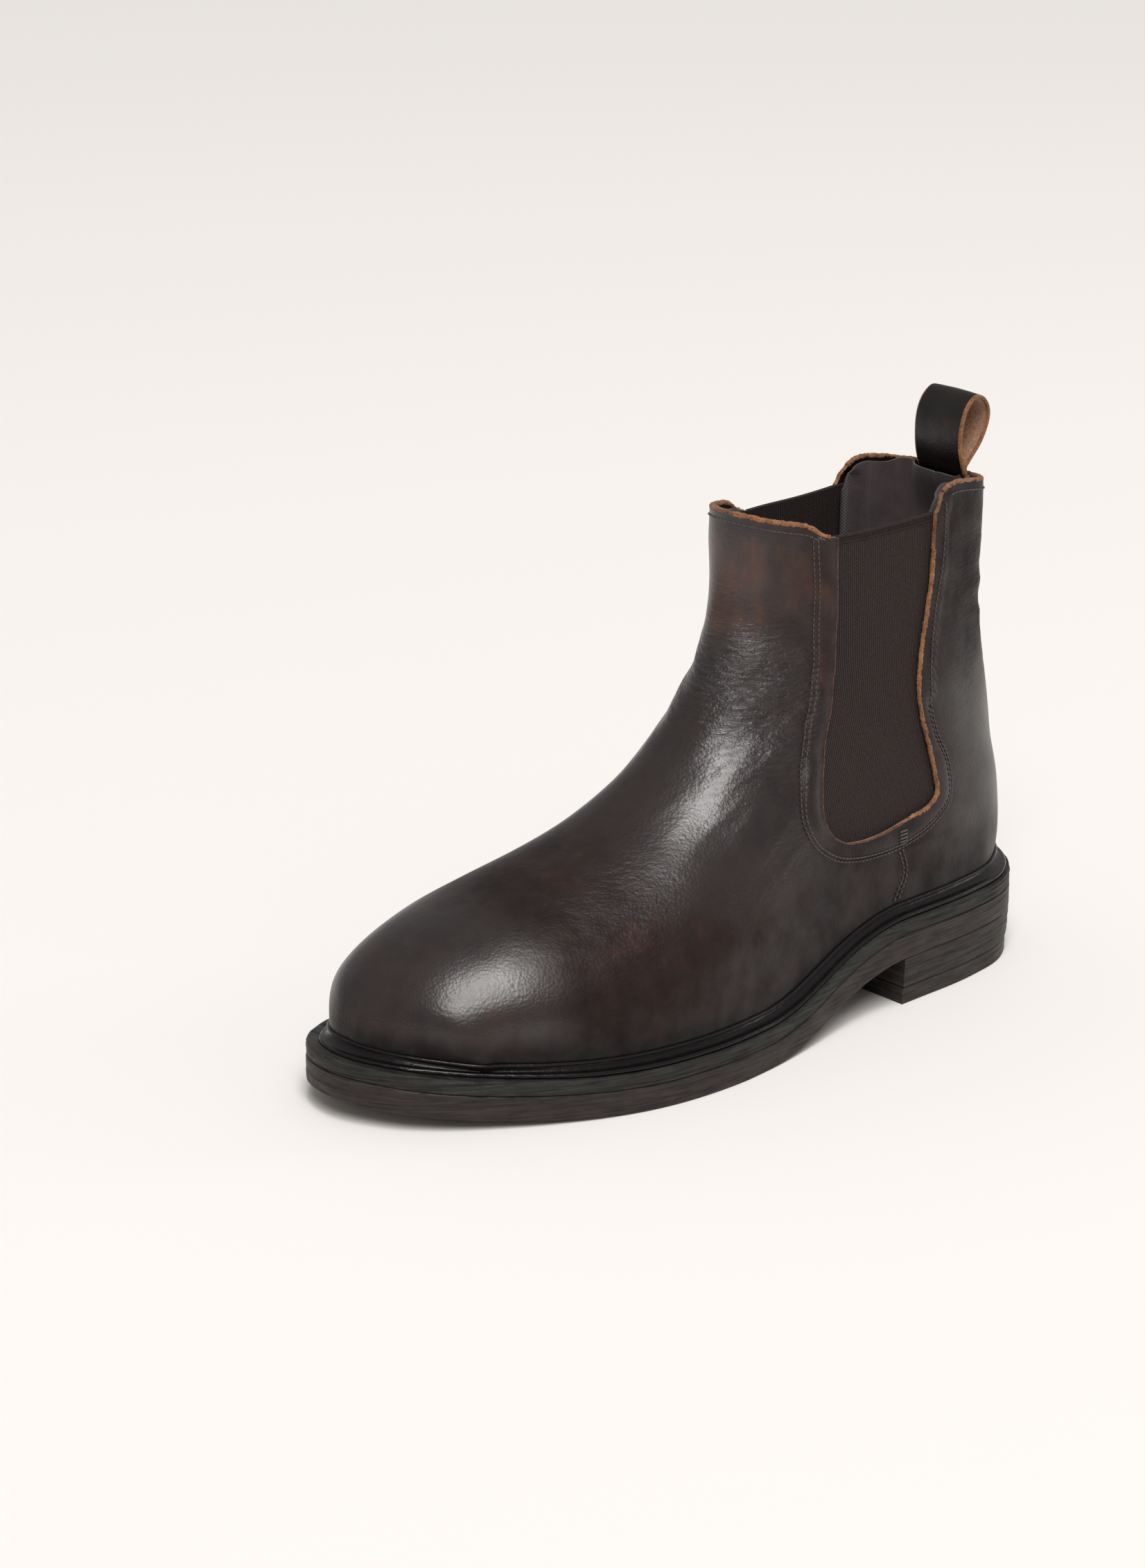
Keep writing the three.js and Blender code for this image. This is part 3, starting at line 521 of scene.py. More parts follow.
def elastic_material():
    m = Shader("ribbed_elastic", (0.02, 0.014, 0.013), 0.8, **{"Specular IOR Level": 0.15})
    ribs = m.bands((0.1, 0.35, 0.1), "Y", distortion=0.0)
    picks = m.bands((0.1, 0.1, 0.62), "Z")
    yarn = m.noise((0.9, 0.9, 2.2), 3.0)
    weave = m.math("MULTIPLY", m.map(ribs, 0, 1, 0.35, 1), m.map(picks, 0, 1, 0.5, 1))
    shade = m.math("MULTIPLY", weave, m.map(yarn, 0.25, 0.75, 0.7, 1.25))
    m.color(m.mix(m.map(shade, 0.15, 0.9), (0.006, 0.0042, 0.004), (0.068, 0.051, 0.047)))
    m.bump(weave, 0.35)
    return m.material


def lining_material():
    m = Shader("lining_textile", (0.06, 0.04, 0.043), 0.9, **{"Sheen Weight": 0.2})
    warp = m.bands((0.55, 0.55, 0.55), "DIAGONAL")
    weft = m.noise((1.5, 1.5, 1.5), 3.0)
    wear = m.noise((0.08, 0.08, 0.03), 3.0)
    m.color(m.mix(m.map(wear, 0.3, 0.7), (0.034, 0.022, 0.025), (0.092, 0.062, 0.066)))
    m.bump(m.math("ADD", warp, weft), 0.12)
    m.bump(m.noise((0.18, 0.18, 0.05), 2.0), 0.9)
    return m.material


def welt_material():
    m = Shader("glossy_welt", (0.0055, 0.0042, 0.0045), 0.26, **{"Specular IOR Level": 0.3})
    m.roughness(m.map(m.noise((0.3, 0.3, 0.5), 3.0), 0.3, 0.7, 0.2, 0.32))
    m.bump(m.noise((0.9, 0.9, 0.9), 3.0), 0.06)
    return m.material


def sole_edge_material(name, low, high, relief):
    m = Shader(name, low, 0.5, **{"Specular IOR Level": 0.25})
    streaks = m.noise((0.05, 0.05, 1.7), 4.0, 0.62)
    blots = m.noise((0.12, 0.12, 0.3), 4.0)
    shade = m.math("ADD", m.math("MULTIPLY", streaks, 0.7), m.math("MULTIPLY", blots, 0.3))
    m.color(m.mix(m.map(shade, 0.36, 0.62), low, high))
    m.roughness(m.map(shade, 0.35, 0.65, 0.62, 0.42))
    m.bump(streaks, relief)
    m.bump(m.noise((0.9, 0.9, 1.8), 4.0), 0.1)
    return m.material


def tread_material():
    m = Shader("worn_tread", (0.06, 0.045, 0.038), 0.75)
    scuffs = m.noise((0.05, 0.25, 0.1), 5.0, 0.65)
    m.color(m.mix(m.map(scuffs, 0.35, 0.65), (0.03, 0.023, 0.02), (0.1, 0.078, 0.066)))
    m.bump(m.noise((0.6, 1.4, 0.6), 4.0), 0.18)
    return m.material


def thread_material():
    m = Shader("sewing_thread", (0.05, 0.034, 0.03), 0.6, **{"Sheen Weight": 0.2})
    m.bump(m.bands((1.6, 1.6, 1.6), "DIAGONAL"), 0.12)
    m.color(m.mix(m.noise((0.4, 0.4, 0.4), 2.0), (0.032, 0.021, 0.018), (0.10, 0.074, 0.062)))
    return m.material


def hidden_materials():
    """Looks for the CAD pieces inside the boot: stiffeners, board, cork, steel and the sock liner."""
    stiff = Shader("stiffener_sheet", (0.7, 0.66, 0.58), 0.8)
    stiff.bump(stiff.noise((0.8, 0.8, 0.8), 4.0), 0.2)
    board = Shader("insole_board", (0.45, 0.3, 0.18), 0.85)
    fibre = board.noise((0.3, 0.3, 0.3), 5.0, 0.7)
    board.color(board.mix(fibre, (0.3, 0.19, 0.11), (0.56, 0.4, 0.26)))
    board.bump(fibre, 0.25)
    cork = Shader("cork_sheet", (0.5, 0.35, 0.2), 0.95)
    grains = cork.cells((0.5, 0.5, 0.5))
    cork.color(cork.mix(grains, (0.2, 0.11, 0.05), (0.62, 0.44, 0.26)))
    cork.bump(grains, 0.4)
    steel = Shader("brushed_steel", (0.55, 0.56, 0.58), 0.32, Metallic=1.0)
    steel.roughness(steel.map(steel.noise((0.2, 3.0, 0.2), 3.0), 0.3, 0.7, 0.25, 0.45))
    sock = Shader("sock_leather", (0.075, 0.045, 0.033), 0.6)
    sock.color(sock.mix(sock.noise((0.06, 0.06, 0.06), 5.0), (0.045, 0.026, 0.02), (0.12, 0.074, 0.055)))
    sock.bump(sock.cells((0.8, 0.8, 0.8)), 0.12)
    return {"stiffener": stiff.material, "board": board.material, "cork": cork.material,
            "steel": steel.material, "sock_leather": sock.material}


LEATHER_LOOK = leather_material()
EDGE_LOOK = raw_edge_material("raw_leather_edge", (0.085, 0.034, 0.016), (0.42, 0.185, 0.075))
DARK_EDGE_LOOK = raw_edge_material("stained_leather_edge", (0.03, 0.012, 0.009), (0.17, 0.065, 0.033))
SUEDE_LOOK = suede_material()
ELASTIC_LOOK = elastic_material()
LINING_LOOK = lining_material()
WELT_LOOK = welt_material()
MIDSOLE_LOOK = sole_edge_material("midsole_edge", (0.007, 0.0065, 0.006), (0.034, 0.033, 0.029), 0.5)
OUTSOLE_LOOK = sole_edge_material("outsole_edge", (0.012, 0.0085, 0.0085), (0.042, 0.031, 0.029), 0.25)
HEEL_LOOK = sole_edge_material("heel_stack_edge", (0.01, 0.008, 0.0077), (0.044, 0.036, 0.032), 0.4)
TREAD_LOOK = tread_material()
THREAD_LOOK = thread_material()


# ------------------------------------------------------------------ mesh tools
def numbered(rows, columns):
    return np.arange(rows * columns).reshape(rows, columns)


def quads(number, around=False):
    """Faces between the rows of a grid of vertex numbers; around joins the last column to the first."""
    if around:
        number = np.column_stack([number, number[:, :1]])
    a, b = number[:-1], number[1:]
    return np.stack([a[:, :-1], b[:, :-1], b[:, 1:], a[:, 1:]], -1).reshape(-1, 4)


def add_mesh(name, points, faces, looks, index=None, sharp=40):
    """An object from design points; index gives each face its place in looks."""
    mesh = bpy.data.meshes.new(name)
    mesh.from_pydata(to_frame(points).tolist(), [], [list(map(int, f)) for f in faces])
    for look in looks:
        mesh.materials.append(look)
    if index is not None:
        mesh.polygons.foreach_set("material_index", np.asarray(index, np.int32))
    made = bpy.data.objects.new(name, mesh)
    bpy.context.scene.collection.objects.link(made)
    clean = bmesh.new()
    clean.from_mesh(mesh)
    bmesh.ops.recalc_face_normals(clean, faces=clean.faces)
    if clean.calc_volume(signed=True) < 0:
        bmesh.ops.reverse_faces(clean, faces=clean.faces)
    clean.to_mesh(mesh)
    clean.free()
    smooth(made, sharp)
    return made


def smooth(made, sharp=40):
    made.data.shade_smooth()
    made.data.set_sharp_from_angle(angle=math.radians(sharp))


def boolean(target, operation, *cutters):
    """Cuts target by each cutter in turn and keeps the result as its mesh."""
    for cutter in cutters:
        step = target.modifiers.new("cut", "BOOLEAN")
        step.operation = operation
        step.solver = "MANIFOLD"
        step.object = cutter
        step.material_mode = "TRANSFER"
    ready = target.evaluated_get(bpy.context.evaluated_depsgraph_get())
    mesh = bpy.data.meshes.new_from_object(ready)
    target.modifiers.clear()
    old, target.data = target.data, mesh
    bpy.data.meshes.remove(old)
    return target


def copy_of(source, name):
    made = bpy.data.objects.new(name, source.data.copy())
    bpy.context.scene.collection.objects.link(made)
    return made


def prism(outline, look, from_x=-150.0, to_x=150.0):
    """Everything inside a side-view outline of (s, z), between two x positions."""
    outline = np.asarray(outline, float)
    count = len(outline)
    points = [(x, s, z) for x in (from_x, to_x) for s, z in outline]
    ring = np.arange(count)
    sides = np.column_stack([ring, np.roll(ring, -1), np.roll(ring, -1) + count, ring + count]).tolist()
    return add_mesh("cutter", points, [*sides, ring[::-1].tolist(), (ring + count).tolist()], [look])


def layer(name, outer, inner, looks):
    """A closed solid between two grids of the upper."""
    number = numbered(*outer.shape[:2])
    closed = ROWS >= CLOSED_STATION
    number[closed, -1] = number[closed, 0]
    faces = quads(number)
    low = number.size
    faces = np.vstack([faces, faces[:, ::-1] + low])
    rim = number[0].tolist()
    open_rows = np.flatnonzero(~closed)
    last_open = open_rows[-1] + 1
    loop_a = number[: last_open + 1, -1].tolist()
    loop_b = number[: last_open + 1, 0].tolist()
    edge = loop_b[::-1] + rim[1:-1] + loop_a
    edge = [v for k, v in enumerate(edge) if v != edge[k - 1]]
    walls = [(edge[k - 1], edge[k], edge[k] + low, edge[k - 1] + low) for k in range(len(edge))]
    top = number[-1, :-1].tolist()
    walls += [(top[k - 1], top[k], top[k] + low, top[k - 1] + low) for k in range(len(top))]
    points = np.vstack([outer.reshape(-1, 3), inner.reshape(-1, 3)])
    made = add_mesh(name, points, [*faces.tolist(), *walls], looks)
    loose = bmesh.new()
    loose.from_mesh(made.data)
    bmesh.ops.delete(loose, geom=[v for v in loose.verts if not v.link_faces], context="VERTS")
    loose.to_mesh(made.data)
    loose.free()
    return made


def paint(made):
    """Stores how red (with painted shade above the welt), how creased and how polished the leather is at each
    vertex.
    """
    mesh = made.data
    count = len(mesh.vertices)
    flat = np.empty(count * 3)
    mesh.vertices.foreach_get("co", flat)
    p = flat.reshape(-1, 3) * 1000
    x, s, z = p[:, 0] - SHIFT_X, SHIFT_Y - p[:, 1], p[:, 2]
    fields = (("tone", tone_and_welt_shade_at), ("crease", crease_at), ("polish", polish_at))
    for name, values in ((name, field(x, s, z)) for name, field in fields):
        layer_data = mesh.attributes.new(name, "FLOAT", "POINT")
        layer_data.data.foreach_set("value", values.astype(np.float32))


def hill(v, centre, width):
    return np.exp(-(((v - centre) / width) ** 2))


def tone_and_welt_shade_at(x, s, z):
    """0 is nearly black, 0.5 dark brown, 1 reddish brown; lowered just above the welt as painted shade and
    reflection.
    """
    tone = np.full_like(s, 0.27)
    tone += 0.5 * hill(s, 130, 16) * hill(z, 158, 20)
    tone += 0.3 * hill(s, 107, 7) * hill(z, 138, 36)
    tone += 0.20 * hill(s, 195, 45) * hill(z, 52, 22)
    tone += 0.05 * hill(s, 268, 22) * hill(z, 38, 14)
    tone -= 0.14 * smoothstep(z, 171, 178)
    tone -= 0.12 * hill(s, 0, 40)
    # painted shade and painted reflection of the black welt: darkest within 5 mm of the midsole top, fading
    # out by 13 mm
    tone -= 0.42 * (1 - smoothstep(z - midsole_top(s), 5, 13))
    return tone


def polish_at(x, s, z):
    """1 where the leather is waxed and buffed most: toe, ridge of the vamp, heel."""
    above = z - midsole_top(s)
    polish = 0.14 + 0.75 * smoothstep(s, 232, 256) * smoothstep(above, 8, 20)
    polish += 0.85 * hill(s, 158, 40) * smoothstep(above, 32, 56)
    polish += 0.55 * smoothstep(s, 70, 40) * smoothstep(above, 14, 30) * (1 - smoothstep(z, 95, 125))
    polish += 0.2 * hill(s, 134, 10) * smoothstep(z, 110, 140) + 0.3 * smoothstep(z, 182, 190)
    return np.clip(polish, 0, 1)


def crease_at(x, s, z):
    """1 where walking and folding wrinkle the leather."""
    crease = 0.04 + 0.95 * hill(s, 128, 20) * hill(z, 121, 17)
    crease += 0.12 * hill(s, 140, 28) * hill(z, 92, 22)
    crease += 0.5 * hill(s, 28, 16) * hill(z, 140, 28)
    crease += 0.25 * hill(s, 210, 26) * hill(z, 62, 20)
    return crease


# ------------------------------------------------------------------ relief of the leather
def inside(polygon, s, z):
    """Which side-view points lie in a polygon."""
    p = np.asarray(polygon, float)
    hit = np.zeros(np.shape(s), bool)
    for (s1, z1), (s2, z2) in zip(p, np.roll(p, -1, axis=0)):
        if z1 == z2:
            continue
        crosses = (z1 > z) != (z2 > z)
        hit ^= crosses & (s < (s2 - s1) * (z - z1) / (z2 - z1) + s1)
    return hit


def distance(line, s, z):
    """Distance from side-view points to an open polyline."""
    p = np.asarray(line, float)
    best = np.full(np.shape(s), 1e9)
    for (s1, z1), (s2, z2) in zip(p[:-1], p[1:]):
        span = (s2 - s1) ** 2 + (z2 - z1) ** 2
        if span < 1e-9:
            continue
        t = np.clip(((s - s1) * (s2 - s1) + (z - z1) * (z2 - z1)) / span, 0, 1)
        best = np.minimum(best, np.hypot(s - s1 - t * (s2 - s1), z - z1 - t * (z2 - z1)))
    return best


GORE_STITCH_LINE = resample(catmull(GORE_STITCH, 12), 1.5)
GORE_ZONE = np.vstack([catmull(GORE_STITCH, 12), [(56, 108), (54, 122), (49.5, 137), (46.5, 150), (45, 176)]])
WINDOW = np.vstack([catmull(GORE_FRONT_EDGE, 12), [(101.8, 190), (53, 190)], catmull(GORE_REAR_EDGE, 12)])
SEAM_LINE = catmull(SIDE_SEAM[1:4], 8)


def relief(p, normal):
    """How far the outer face stands proud of the plain surface, in mm."""
    x, s, z = p[..., 0], p[..., 1], p[..., 2]
    to_stitch = distance(GORE_STITCH_LINE, s, z)
    over = inside(GORE_ZONE, s, z)
    signed = np.where(over, to_stitch, -to_stitch)
    side = smoothstep(np.abs(normal[..., 0]), 0.25, 0.6)
    ahead = smoothstep(s, 84, 100)
    out = side * ((0.85 + 0.45 * ahead) * smoothstep(signed, -1.5, 3.4) - 0.45 * hill(signed, 0.8, 1.7))
    out = out - side * ahead * 0.8 * smoothstep(signed, 5.2, 9)
    to_seam = distance(SEAM_LINE, s, z)
    out = out - 0.3 * hill(to_seam, 0, 1.6) * (z < 60)
    out = out + 0.35 * smoothstep(s, 83.5, 80.5) * (z < 57) * smoothstep(s, 40, 75)
    # the flex folds over the ankle run across, and bend down towards the gore
    fold_way = z * 0.82 + s * 0.42
    ankle = hill(s, 134, 20) * hill(z, 113, 21)
    wander = fractal(np.stack([x * 0.035, s * 0.03, z * 0.03], -1), 2, 5)
    out = out + ankle * 0.55 * np.sin(fold_way / 7.4 * 2 * np.pi / 1.7 + 2.6 * wander)
    out = out + ankle * 0.45 * fractal(np.stack([x * 0.06, fold_way * 0.33, s * 0.05], -1), 3, 11)
    low = hill(s, 152, 24) * hill(z, 84, 20)
    out = out + low * 0.35 * fractal(np.stack([x * 0.05, fold_way * 0.22, s * 0.04], -1), 3, 21)
    rear = hill(s, 26, 17) * hill(z, 138, 26)
    rear_way = z * 0.96 - s * 0.25
    rear_folds = fractal(np.stack([x * 0.05, s * 0.06, rear_way * 0.17], -1), 3, 31)
    out = out + rear * (0.2 + 0.35 * side) * rear_folds
    out = out + 0.22 * fractal(np.stack([x, s, z], -1) * 0.035, 2, 41)
    # the back seam
    back = (normal[..., 1] < -0.6) & (z > 30)
    out = out - 0.5 * back * hill(x - LEG_CENTRE, 0, 0.8)
    # pulled in a little under the topline
    out = out - 0.5 * smoothstep(z, 168, 184)
    # the upper keeps to the feather line
    return out * smoothstep(z - midsole_top(s), 2, 9)


OUTER = GRID + NORMAL * relief(GRID, NORMAL)[..., None]


def grid_tree(grid):
    faces = quads(numbered(*grid.shape[:2]))
    return BVHTree.FromPolygons(grid.reshape(-1, 3).tolist(), faces.tolist())


UPPER_TREE = grid_tree(OUTER)


def on_side(points, lateral, lift=0.0, tree=None):
    """Side-view points put on the upper's outer face: positions and outward normals."""
    sign = 1 if lateral else -1
    found = []
    for s, z in points:
        hit, normal, _, _ = (tree or UPPER_TREE).ray_cast(Vector((sign * 200, s, z)), Vector((-sign, 0, 0)))
        if hit is None:
            continue
        if normal.x * sign < 0:
            normal = -normal
        found.append((np.array(hit) + np.array(normal) * lift, np.array(normal)))
    return [np.array(v) for v in zip(*found)]


# ------------------------------------------------------------------ upper panels
LEATHER_DEEP = (0.0, LEATHER)
WEB_DEEP = (2.1, 3.1)
LINING_DEEP = (3.5, 4.2)
FLOOR = [(s, float(midsole_top(s)) + GAP) for s in np.linspace(-20, 330, 90)]
ABOVE_FLOOR = [*FLOOR, (330, 260), (-20, 260)]
TOPLINE_CURVE = catmull(TOPLINE, 10)
BELOW_TOPLINE = [(-20, -30), (330, -30), (330, 184), *TOPLINE_CURVE[::-1].tolist()]


def at_depth(depth):
    return OUTER - NORMAL * depth


def upper_layer(name, depths, look):
    whole = layer(name, at_depth(depths[0]), at_depth(depths[1]), [look])
    cutter = prism(ABOVE_FLOOR, EDGE_LOOK)
    boolean(whole, "INTERSECT", cutter)
    bpy.data.objects.remove(cutter)
    return whole


def cut(target, outline, operation, look, from_x=-150.0, to_x=150.0):
    cutter = prism(outline, look, from_x, to_x)
    boolean(target, operation, cutter)
    bpy.data.objects.remove(cutter)
    return target


def finish_piece(piece, slot, *nodes, body="boot"):
    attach(piece, body)
    if nodes:
        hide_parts(*nodes)
    return piece


WHOLE_SIDE = [(-40, -40), (340, -40), (340, 260), (-40, 260)]


def make_panels():
    shell = upper_layer("leather_shell", LEATHER_DEEP, LEATHER_LOOK)
    cut(shell, BELOW_TOPLINE, "INTERSECT", EDGE_LOOK)
    cut(shell, WINDOW, "DIFFERENCE", EDGE_LOOK)
    seam = catmull(SIDE_SEAM, 8)
    front_of_seam = [*seam.tolist(), (330, 200), (330, -30), (84, -30)]
    vamp = copy_of(shell, "vamp_leather")
    cut(vamp, front_of_seam, "INTERSECT", EDGE_LOOK)
    rear = cut(shell, front_of_seam, "DIFFERENCE", EDGE_LOOK)
    for name, node, ends in (("quarter_leather_lateral", "quarter_lateral", (LEG_CENTRE, 150)),
                             ("quarter_leather_medial", "quarter_medial", (-150, LEG_CENTRE))):
        half = copy_of(rear, name)
        cut(half, WHOLE_SIDE, "INTERSECT", EDGE_LOOK, *ends)
        paint(half)
        smooth(half)
        finish_piece(half, "upper_leather", node)
    bpy.data.objects.remove(rear)
    paint(vamp)
    smooth(vamp)
    finish_piece(vamp, "upper_leather", "vamp")


def make_gores():
    web = upper_layer("elastic", WEB_DEEP, ELASTIC_LOOK)
    cut(web, catmull(GORE_CUT, 10), "INTERSECT", ELASTIC_LOOK)
    for name, node, ends in (("gore_web_lateral", "gore_lateral", (5, 150)),
                             ("gore_web_medial", "gore_medial", (-150, -12))):
        half = copy_of(web, name)
        cut(half, WHOLE_SIDE, "INTERSECT", ELASTIC_LOOK, *ends)
        smooth(half)
        finish_piece(half, "elastic_web", node)
    bpy.data.objects.remove(web)


def lining_depth(depth):
    """The lining hangs in soft upright folds and makes room for the strap at the back."""
    x, s, z = GRID[..., 0], GRID[..., 1], GRID[..., 2]
    up = smoothstep(z, 90, 165)
    folds = 0.9 * noise(np.stack([x * 0.16, s * 0.16, z * 0.02], -1), 51) + 0.5 * np.sin(s * 0.55 + 0.02 * z)
    room = 6.2 * np.exp(-np.abs((x - LEG_CENTRE) / 15.5) ** 6) * smoothstep(z, 160, 178) * (s < 60)
    return depth + (up * (0.7 + folds * 0.55) + room)[..., None] * (NORMAL[..., 2:] < 0.5)


def make_lining():
    outer, inner = (OUTER - NORMAL * lining_depth(depth) for depth in LINING_DEEP)
    cloth = layer("lining_cloth", outer, inner, [LINING_LOOK])
    cut(cloth, ABOVE_FLOOR, "INTERSECT", LINING_LOOK)
    below = [(s, z - 1.2 + 0.5 * math.sin(s * 0.31) + 1.2 * hill(s, 26, 5.5) if z > 100 else z)
             for s, z in BELOW_TOPLINE]
    cut(cloth, below, "INTERSECT", LINING_LOOK)
    cut(cloth, WINDOW, "DIFFERENCE", LINING_LOOK)
    seam = [(92, -5), (92, 60), (92, 200), (330, 200), (330, -30), (92, -30)]
    front = copy_of(cloth, "lining_front")
    cut(front, seam, "INTERSECT", LINING_LOOK)
    cut(cloth, seam, "DIFFERENCE", LINING_LOOK)
    smooth(front)
    finish_piece(front, "textile_lining", "vamp_lining")
    cloth.name = "lining_rear"
    smooth(cloth)
    finish_piece(cloth, "textile_lining", "quarter_lining", "heel_grip")


make_panels()
make_gores()
make_lining()


# ------------------------------------------------------------------ stitching, beads and other small runs
def tube(path, radius, sides=8, wobble=0.0, seed=0):
    """A round run along 3-D points; wobble roughens it like cut fibres."""
    path = np.asarray(path, float)
    along = np.gradient(path, axis=0)
    along /= np.maximum(np.linalg.norm(along, axis=1, keepdims=True), 1e-9)
    guide = np.array([0.3, 0.1, 0.95])
    first = np.cross(along, guide)
    first /= np.maximum(np.linalg.norm(first, axis=1, keepdims=True), 1e-9)
    second = np.cross(along, first)
    angle = np.arange(sides) / sides * 2 * np.pi
    radii = np.broadcast_to(np.asarray(radius, float), (len(path),))[:, None] * np.ones(sides)
    round_way = np.cos(angle)[:, None] * first[:, None] + np.sin(angle)[:, None] * second[:, None]
    ring = path[:, None] + round_way * radii[..., None]
    if wobble:
        shake = 1 + wobble * fractal(ring * 1.3, 2, seed)
        ring = path[:, None] + (ring - path[:, None]) * shake[..., None]
    number = numbered(len(path), sides)
    faces = quads(number, around=True).tolist()
    faces += [number[0, ::-1].tolist(), number[-1].tolist()]
    return ring.reshape(-1, 3), faces


def joined(name, parts, looks, sharp=50):
    """One object from many (points, faces)."""
    points, faces, start = [], [], 0
    for some_points, some_faces in parts:
        points.append(some_points)
        faces += [[v + start for v in face] for face in some_faces]
        start += len(some_points)
    return add_mesh(name, np.vstack(points), faces, looks, sharp=sharp)


STITCH = 1.6
STITCH_GAP = 0.4
THREAD_RADIUS = 0.27


def stitches(path, normals, length=STITCH, gap=STITCH_GAP, radius=THREAD_RADIUS):
    """Thread humps along a path that lies on the leather."""
    travelled = np.concatenate([[0], np.cumsum(np.linalg.norm(np.diff(path, axis=0), axis=1))])
    parts = []
    step = length + gap
    lift = np.array([-0.25, 0.05, 0.18, 0.22, 0.18, 0.05, -0.25]) * radius / THREAD_RADIUS
    thickness = radius * np.array([0.6, 0.95, 1, 1, 1, 0.95, 0.6])
    for k in range(int(travelled[-1] // step)):
        at = k * step + gap / 2 + np.linspace(0, length, 7)
        run = np.column_stack([np.interp(at, travelled, path[:, a]) for a in range(3)])
        up = np.column_stack([np.interp(at, travelled, normals[:, a]) for a in range(3)])
        parts.append(tube(run + up * lift[:, None], thickness, 6))
    return parts


def row_on_side(line, lateral, shift=0.0, lift=0.1):
    """A side-view line moved sideways by shift, laid on the leather."""
    line = resample(line, 0.8)
    along = np.gradient(line, axis=0)
    along /= np.linalg.norm(along, axis=1, keepdims=True)
    return on_side(line + np.column_stack([-along[:, 1], along[:, 0]]) * shift, lateral, lift)


def make_stitching():
    gore_line = catmull(GORE_STITCH, 10)
    rear_line = catmull([(58.5, 104), (57.6, 118), (54, 135), (50, 150), (48.6, 160), (48, 176)], 10)
    seam_line = catmull([(81, 56.5), (78.5, 47.3), (81.3, 41), (83.4, 36.9)], 10)
    for lateral, name in ((True, "lateral"), (False, "medial")):
        parts = []
        for shift in (0, -1.5):
            parts += stitches(*row_on_side(gore_line, lateral, shift))
        parts += stitches(*row_on_side(rear_line, lateral, 0, 0.0))
        for shift in (-0.9, 0.9):
            parts += stitches(*row_on_side(seam_line, lateral, shift))
        for k in range(5):
            height = 58.6 + k * 1.25
            bar = np.column_stack([np.linspace(78.2, 82.0, 9), np.full(9, height)])
            path, _ = on_side(bar, lateral, 0.25)
            parts.append(tube(path, 0.34, 6))
        piece = joined("seam_stitching_" + name, parts, [THREAD_LOOK])
        finish_piece(piece, "upper_leather")
    parts = stitches(*topline_path(3.2, 109, 140, 0.1)) + stitches(*topline_path(3.4, -20, 46, 0.1))
    finish_piece(joined("topline_stitching", parts, [THREAD_LOOK]), "upper_leather")


def topline_path(drop, from_s, to_s, lift, depth=0.0):
    """Points on the leather a little below the topline, going round from the lateral side to the medial."""
    found = []
    surface = OUTER - NORMAL * depth
    for j in range(surface.shape[1]):
        column = surface[:, j]
        top = np.interp(column[:, 1], TOPLINE_CURVE[:, 0], TOPLINE_CURVE[:, 1]) - drop
        over = np.flatnonzero((column[1:, 2] >= top[1:]) & (column[:-1, 2] < top[:-1]) & (ROWS[1:] > 16))
        if not len(over):
            continue
        k = over[0]
        a, b = column[k, 2] - top[k], column[k + 1, 2] - top[k + 1]
        u = a / (a - b)
        p = column[k] * (1 - u) + column[k + 1] * u
        if from_s <= p[1] <= to_s:
            found.append((j, p, NORMAL[k, j]))
    if from_s < 0:
        half = surface.shape[1] // 2
        found.sort(key=lambda entry: (entry[0] + half) % (2 * half))
    points = np.array([p for _, p, _ in found])
    normals = np.array([n for _, _, n in found])
    return points + normals * lift, normals


def make_raw_edges():
    """Frayed flesh-coloured beads where the leather was cut and left raw."""
    parts, stained = [], []
    for from_s, to_s in ((103.5, 140), (-20, 49)):
        path, _ = topline_path(0.25, from_s, to_s, 0, 0.9)
        parts.append(tube(resample(path, 0.6), 1.05 if from_s > 0 else 0.98, 12, 0.25, 3))
    rear_edge = catmull(GORE_REAR_EDGE[1:], 12)
    front_edge = catmull(GORE_FRONT_EDGE, 12)
    for lateral in (True, False):
        path, _ = on_side(resample(rear_edge, 0.7), lateral, -0.75)
        parts.append(tube(path, 0.85, 10, 0.3, 7))
        path, _ = on_side(resample(front_edge, 0.7), lateral, -0.3)
        stained.append(tube(path, 0.4, 10, 0.3, 8))
    finish_piece(joined("raw_cut_edges", parts, [EDGE_LOOK]), "upper_leather")
    finish_piece(joined("stained_cut_edges", stained, [DARK_EDGE_LOOK]), "upper_leather")


def make_gore_hems():
    parts = []
    tree = grid_tree(at_depth(WEB_DEEP[0] - 0.1))
    for lateral in (True, False):
        for height, radius in ((171.2, 0.55), (168.9, 0.3)):
            line = np.column_stack([np.linspace(54, 101.2, 70), np.full(70, height)])
            path, _ = on_side(line, lateral, 0, tree)
            parts.append(tube(path, radius, 8))
    finish_piece(joined("gore_hems", parts, [ELASTIC_LOOK]), "elastic_web")


def make_thread_tail():
    """Loose thread ends at the top of the back seam."""
    parts = []
    for k, (back, drop, turn) in enumerate(((4.2, 2.2, 1.5), (3.4, 0.4, -1.2), (2.4, 3.2, 0.6))):
        u = np.linspace(0, 1, 12)
        x = LEG_CENTRE + 1.2 + turn * u**2
        s = 19.6 - back * u + 0.6 * np.sin(u * 5 + k)
        z = 170.5 - drop * u**1.5
        parts.append(tube(np.column_stack([x, s, z]), 0.16 * (1.2 - 0.6 * u), 5))
    finish_piece(joined("loose_thread", parts, [THREAD_LOOK]), "upper_leather")


make_stitching()
make_thread_tail()
make_raw_edges()
make_gore_hems()


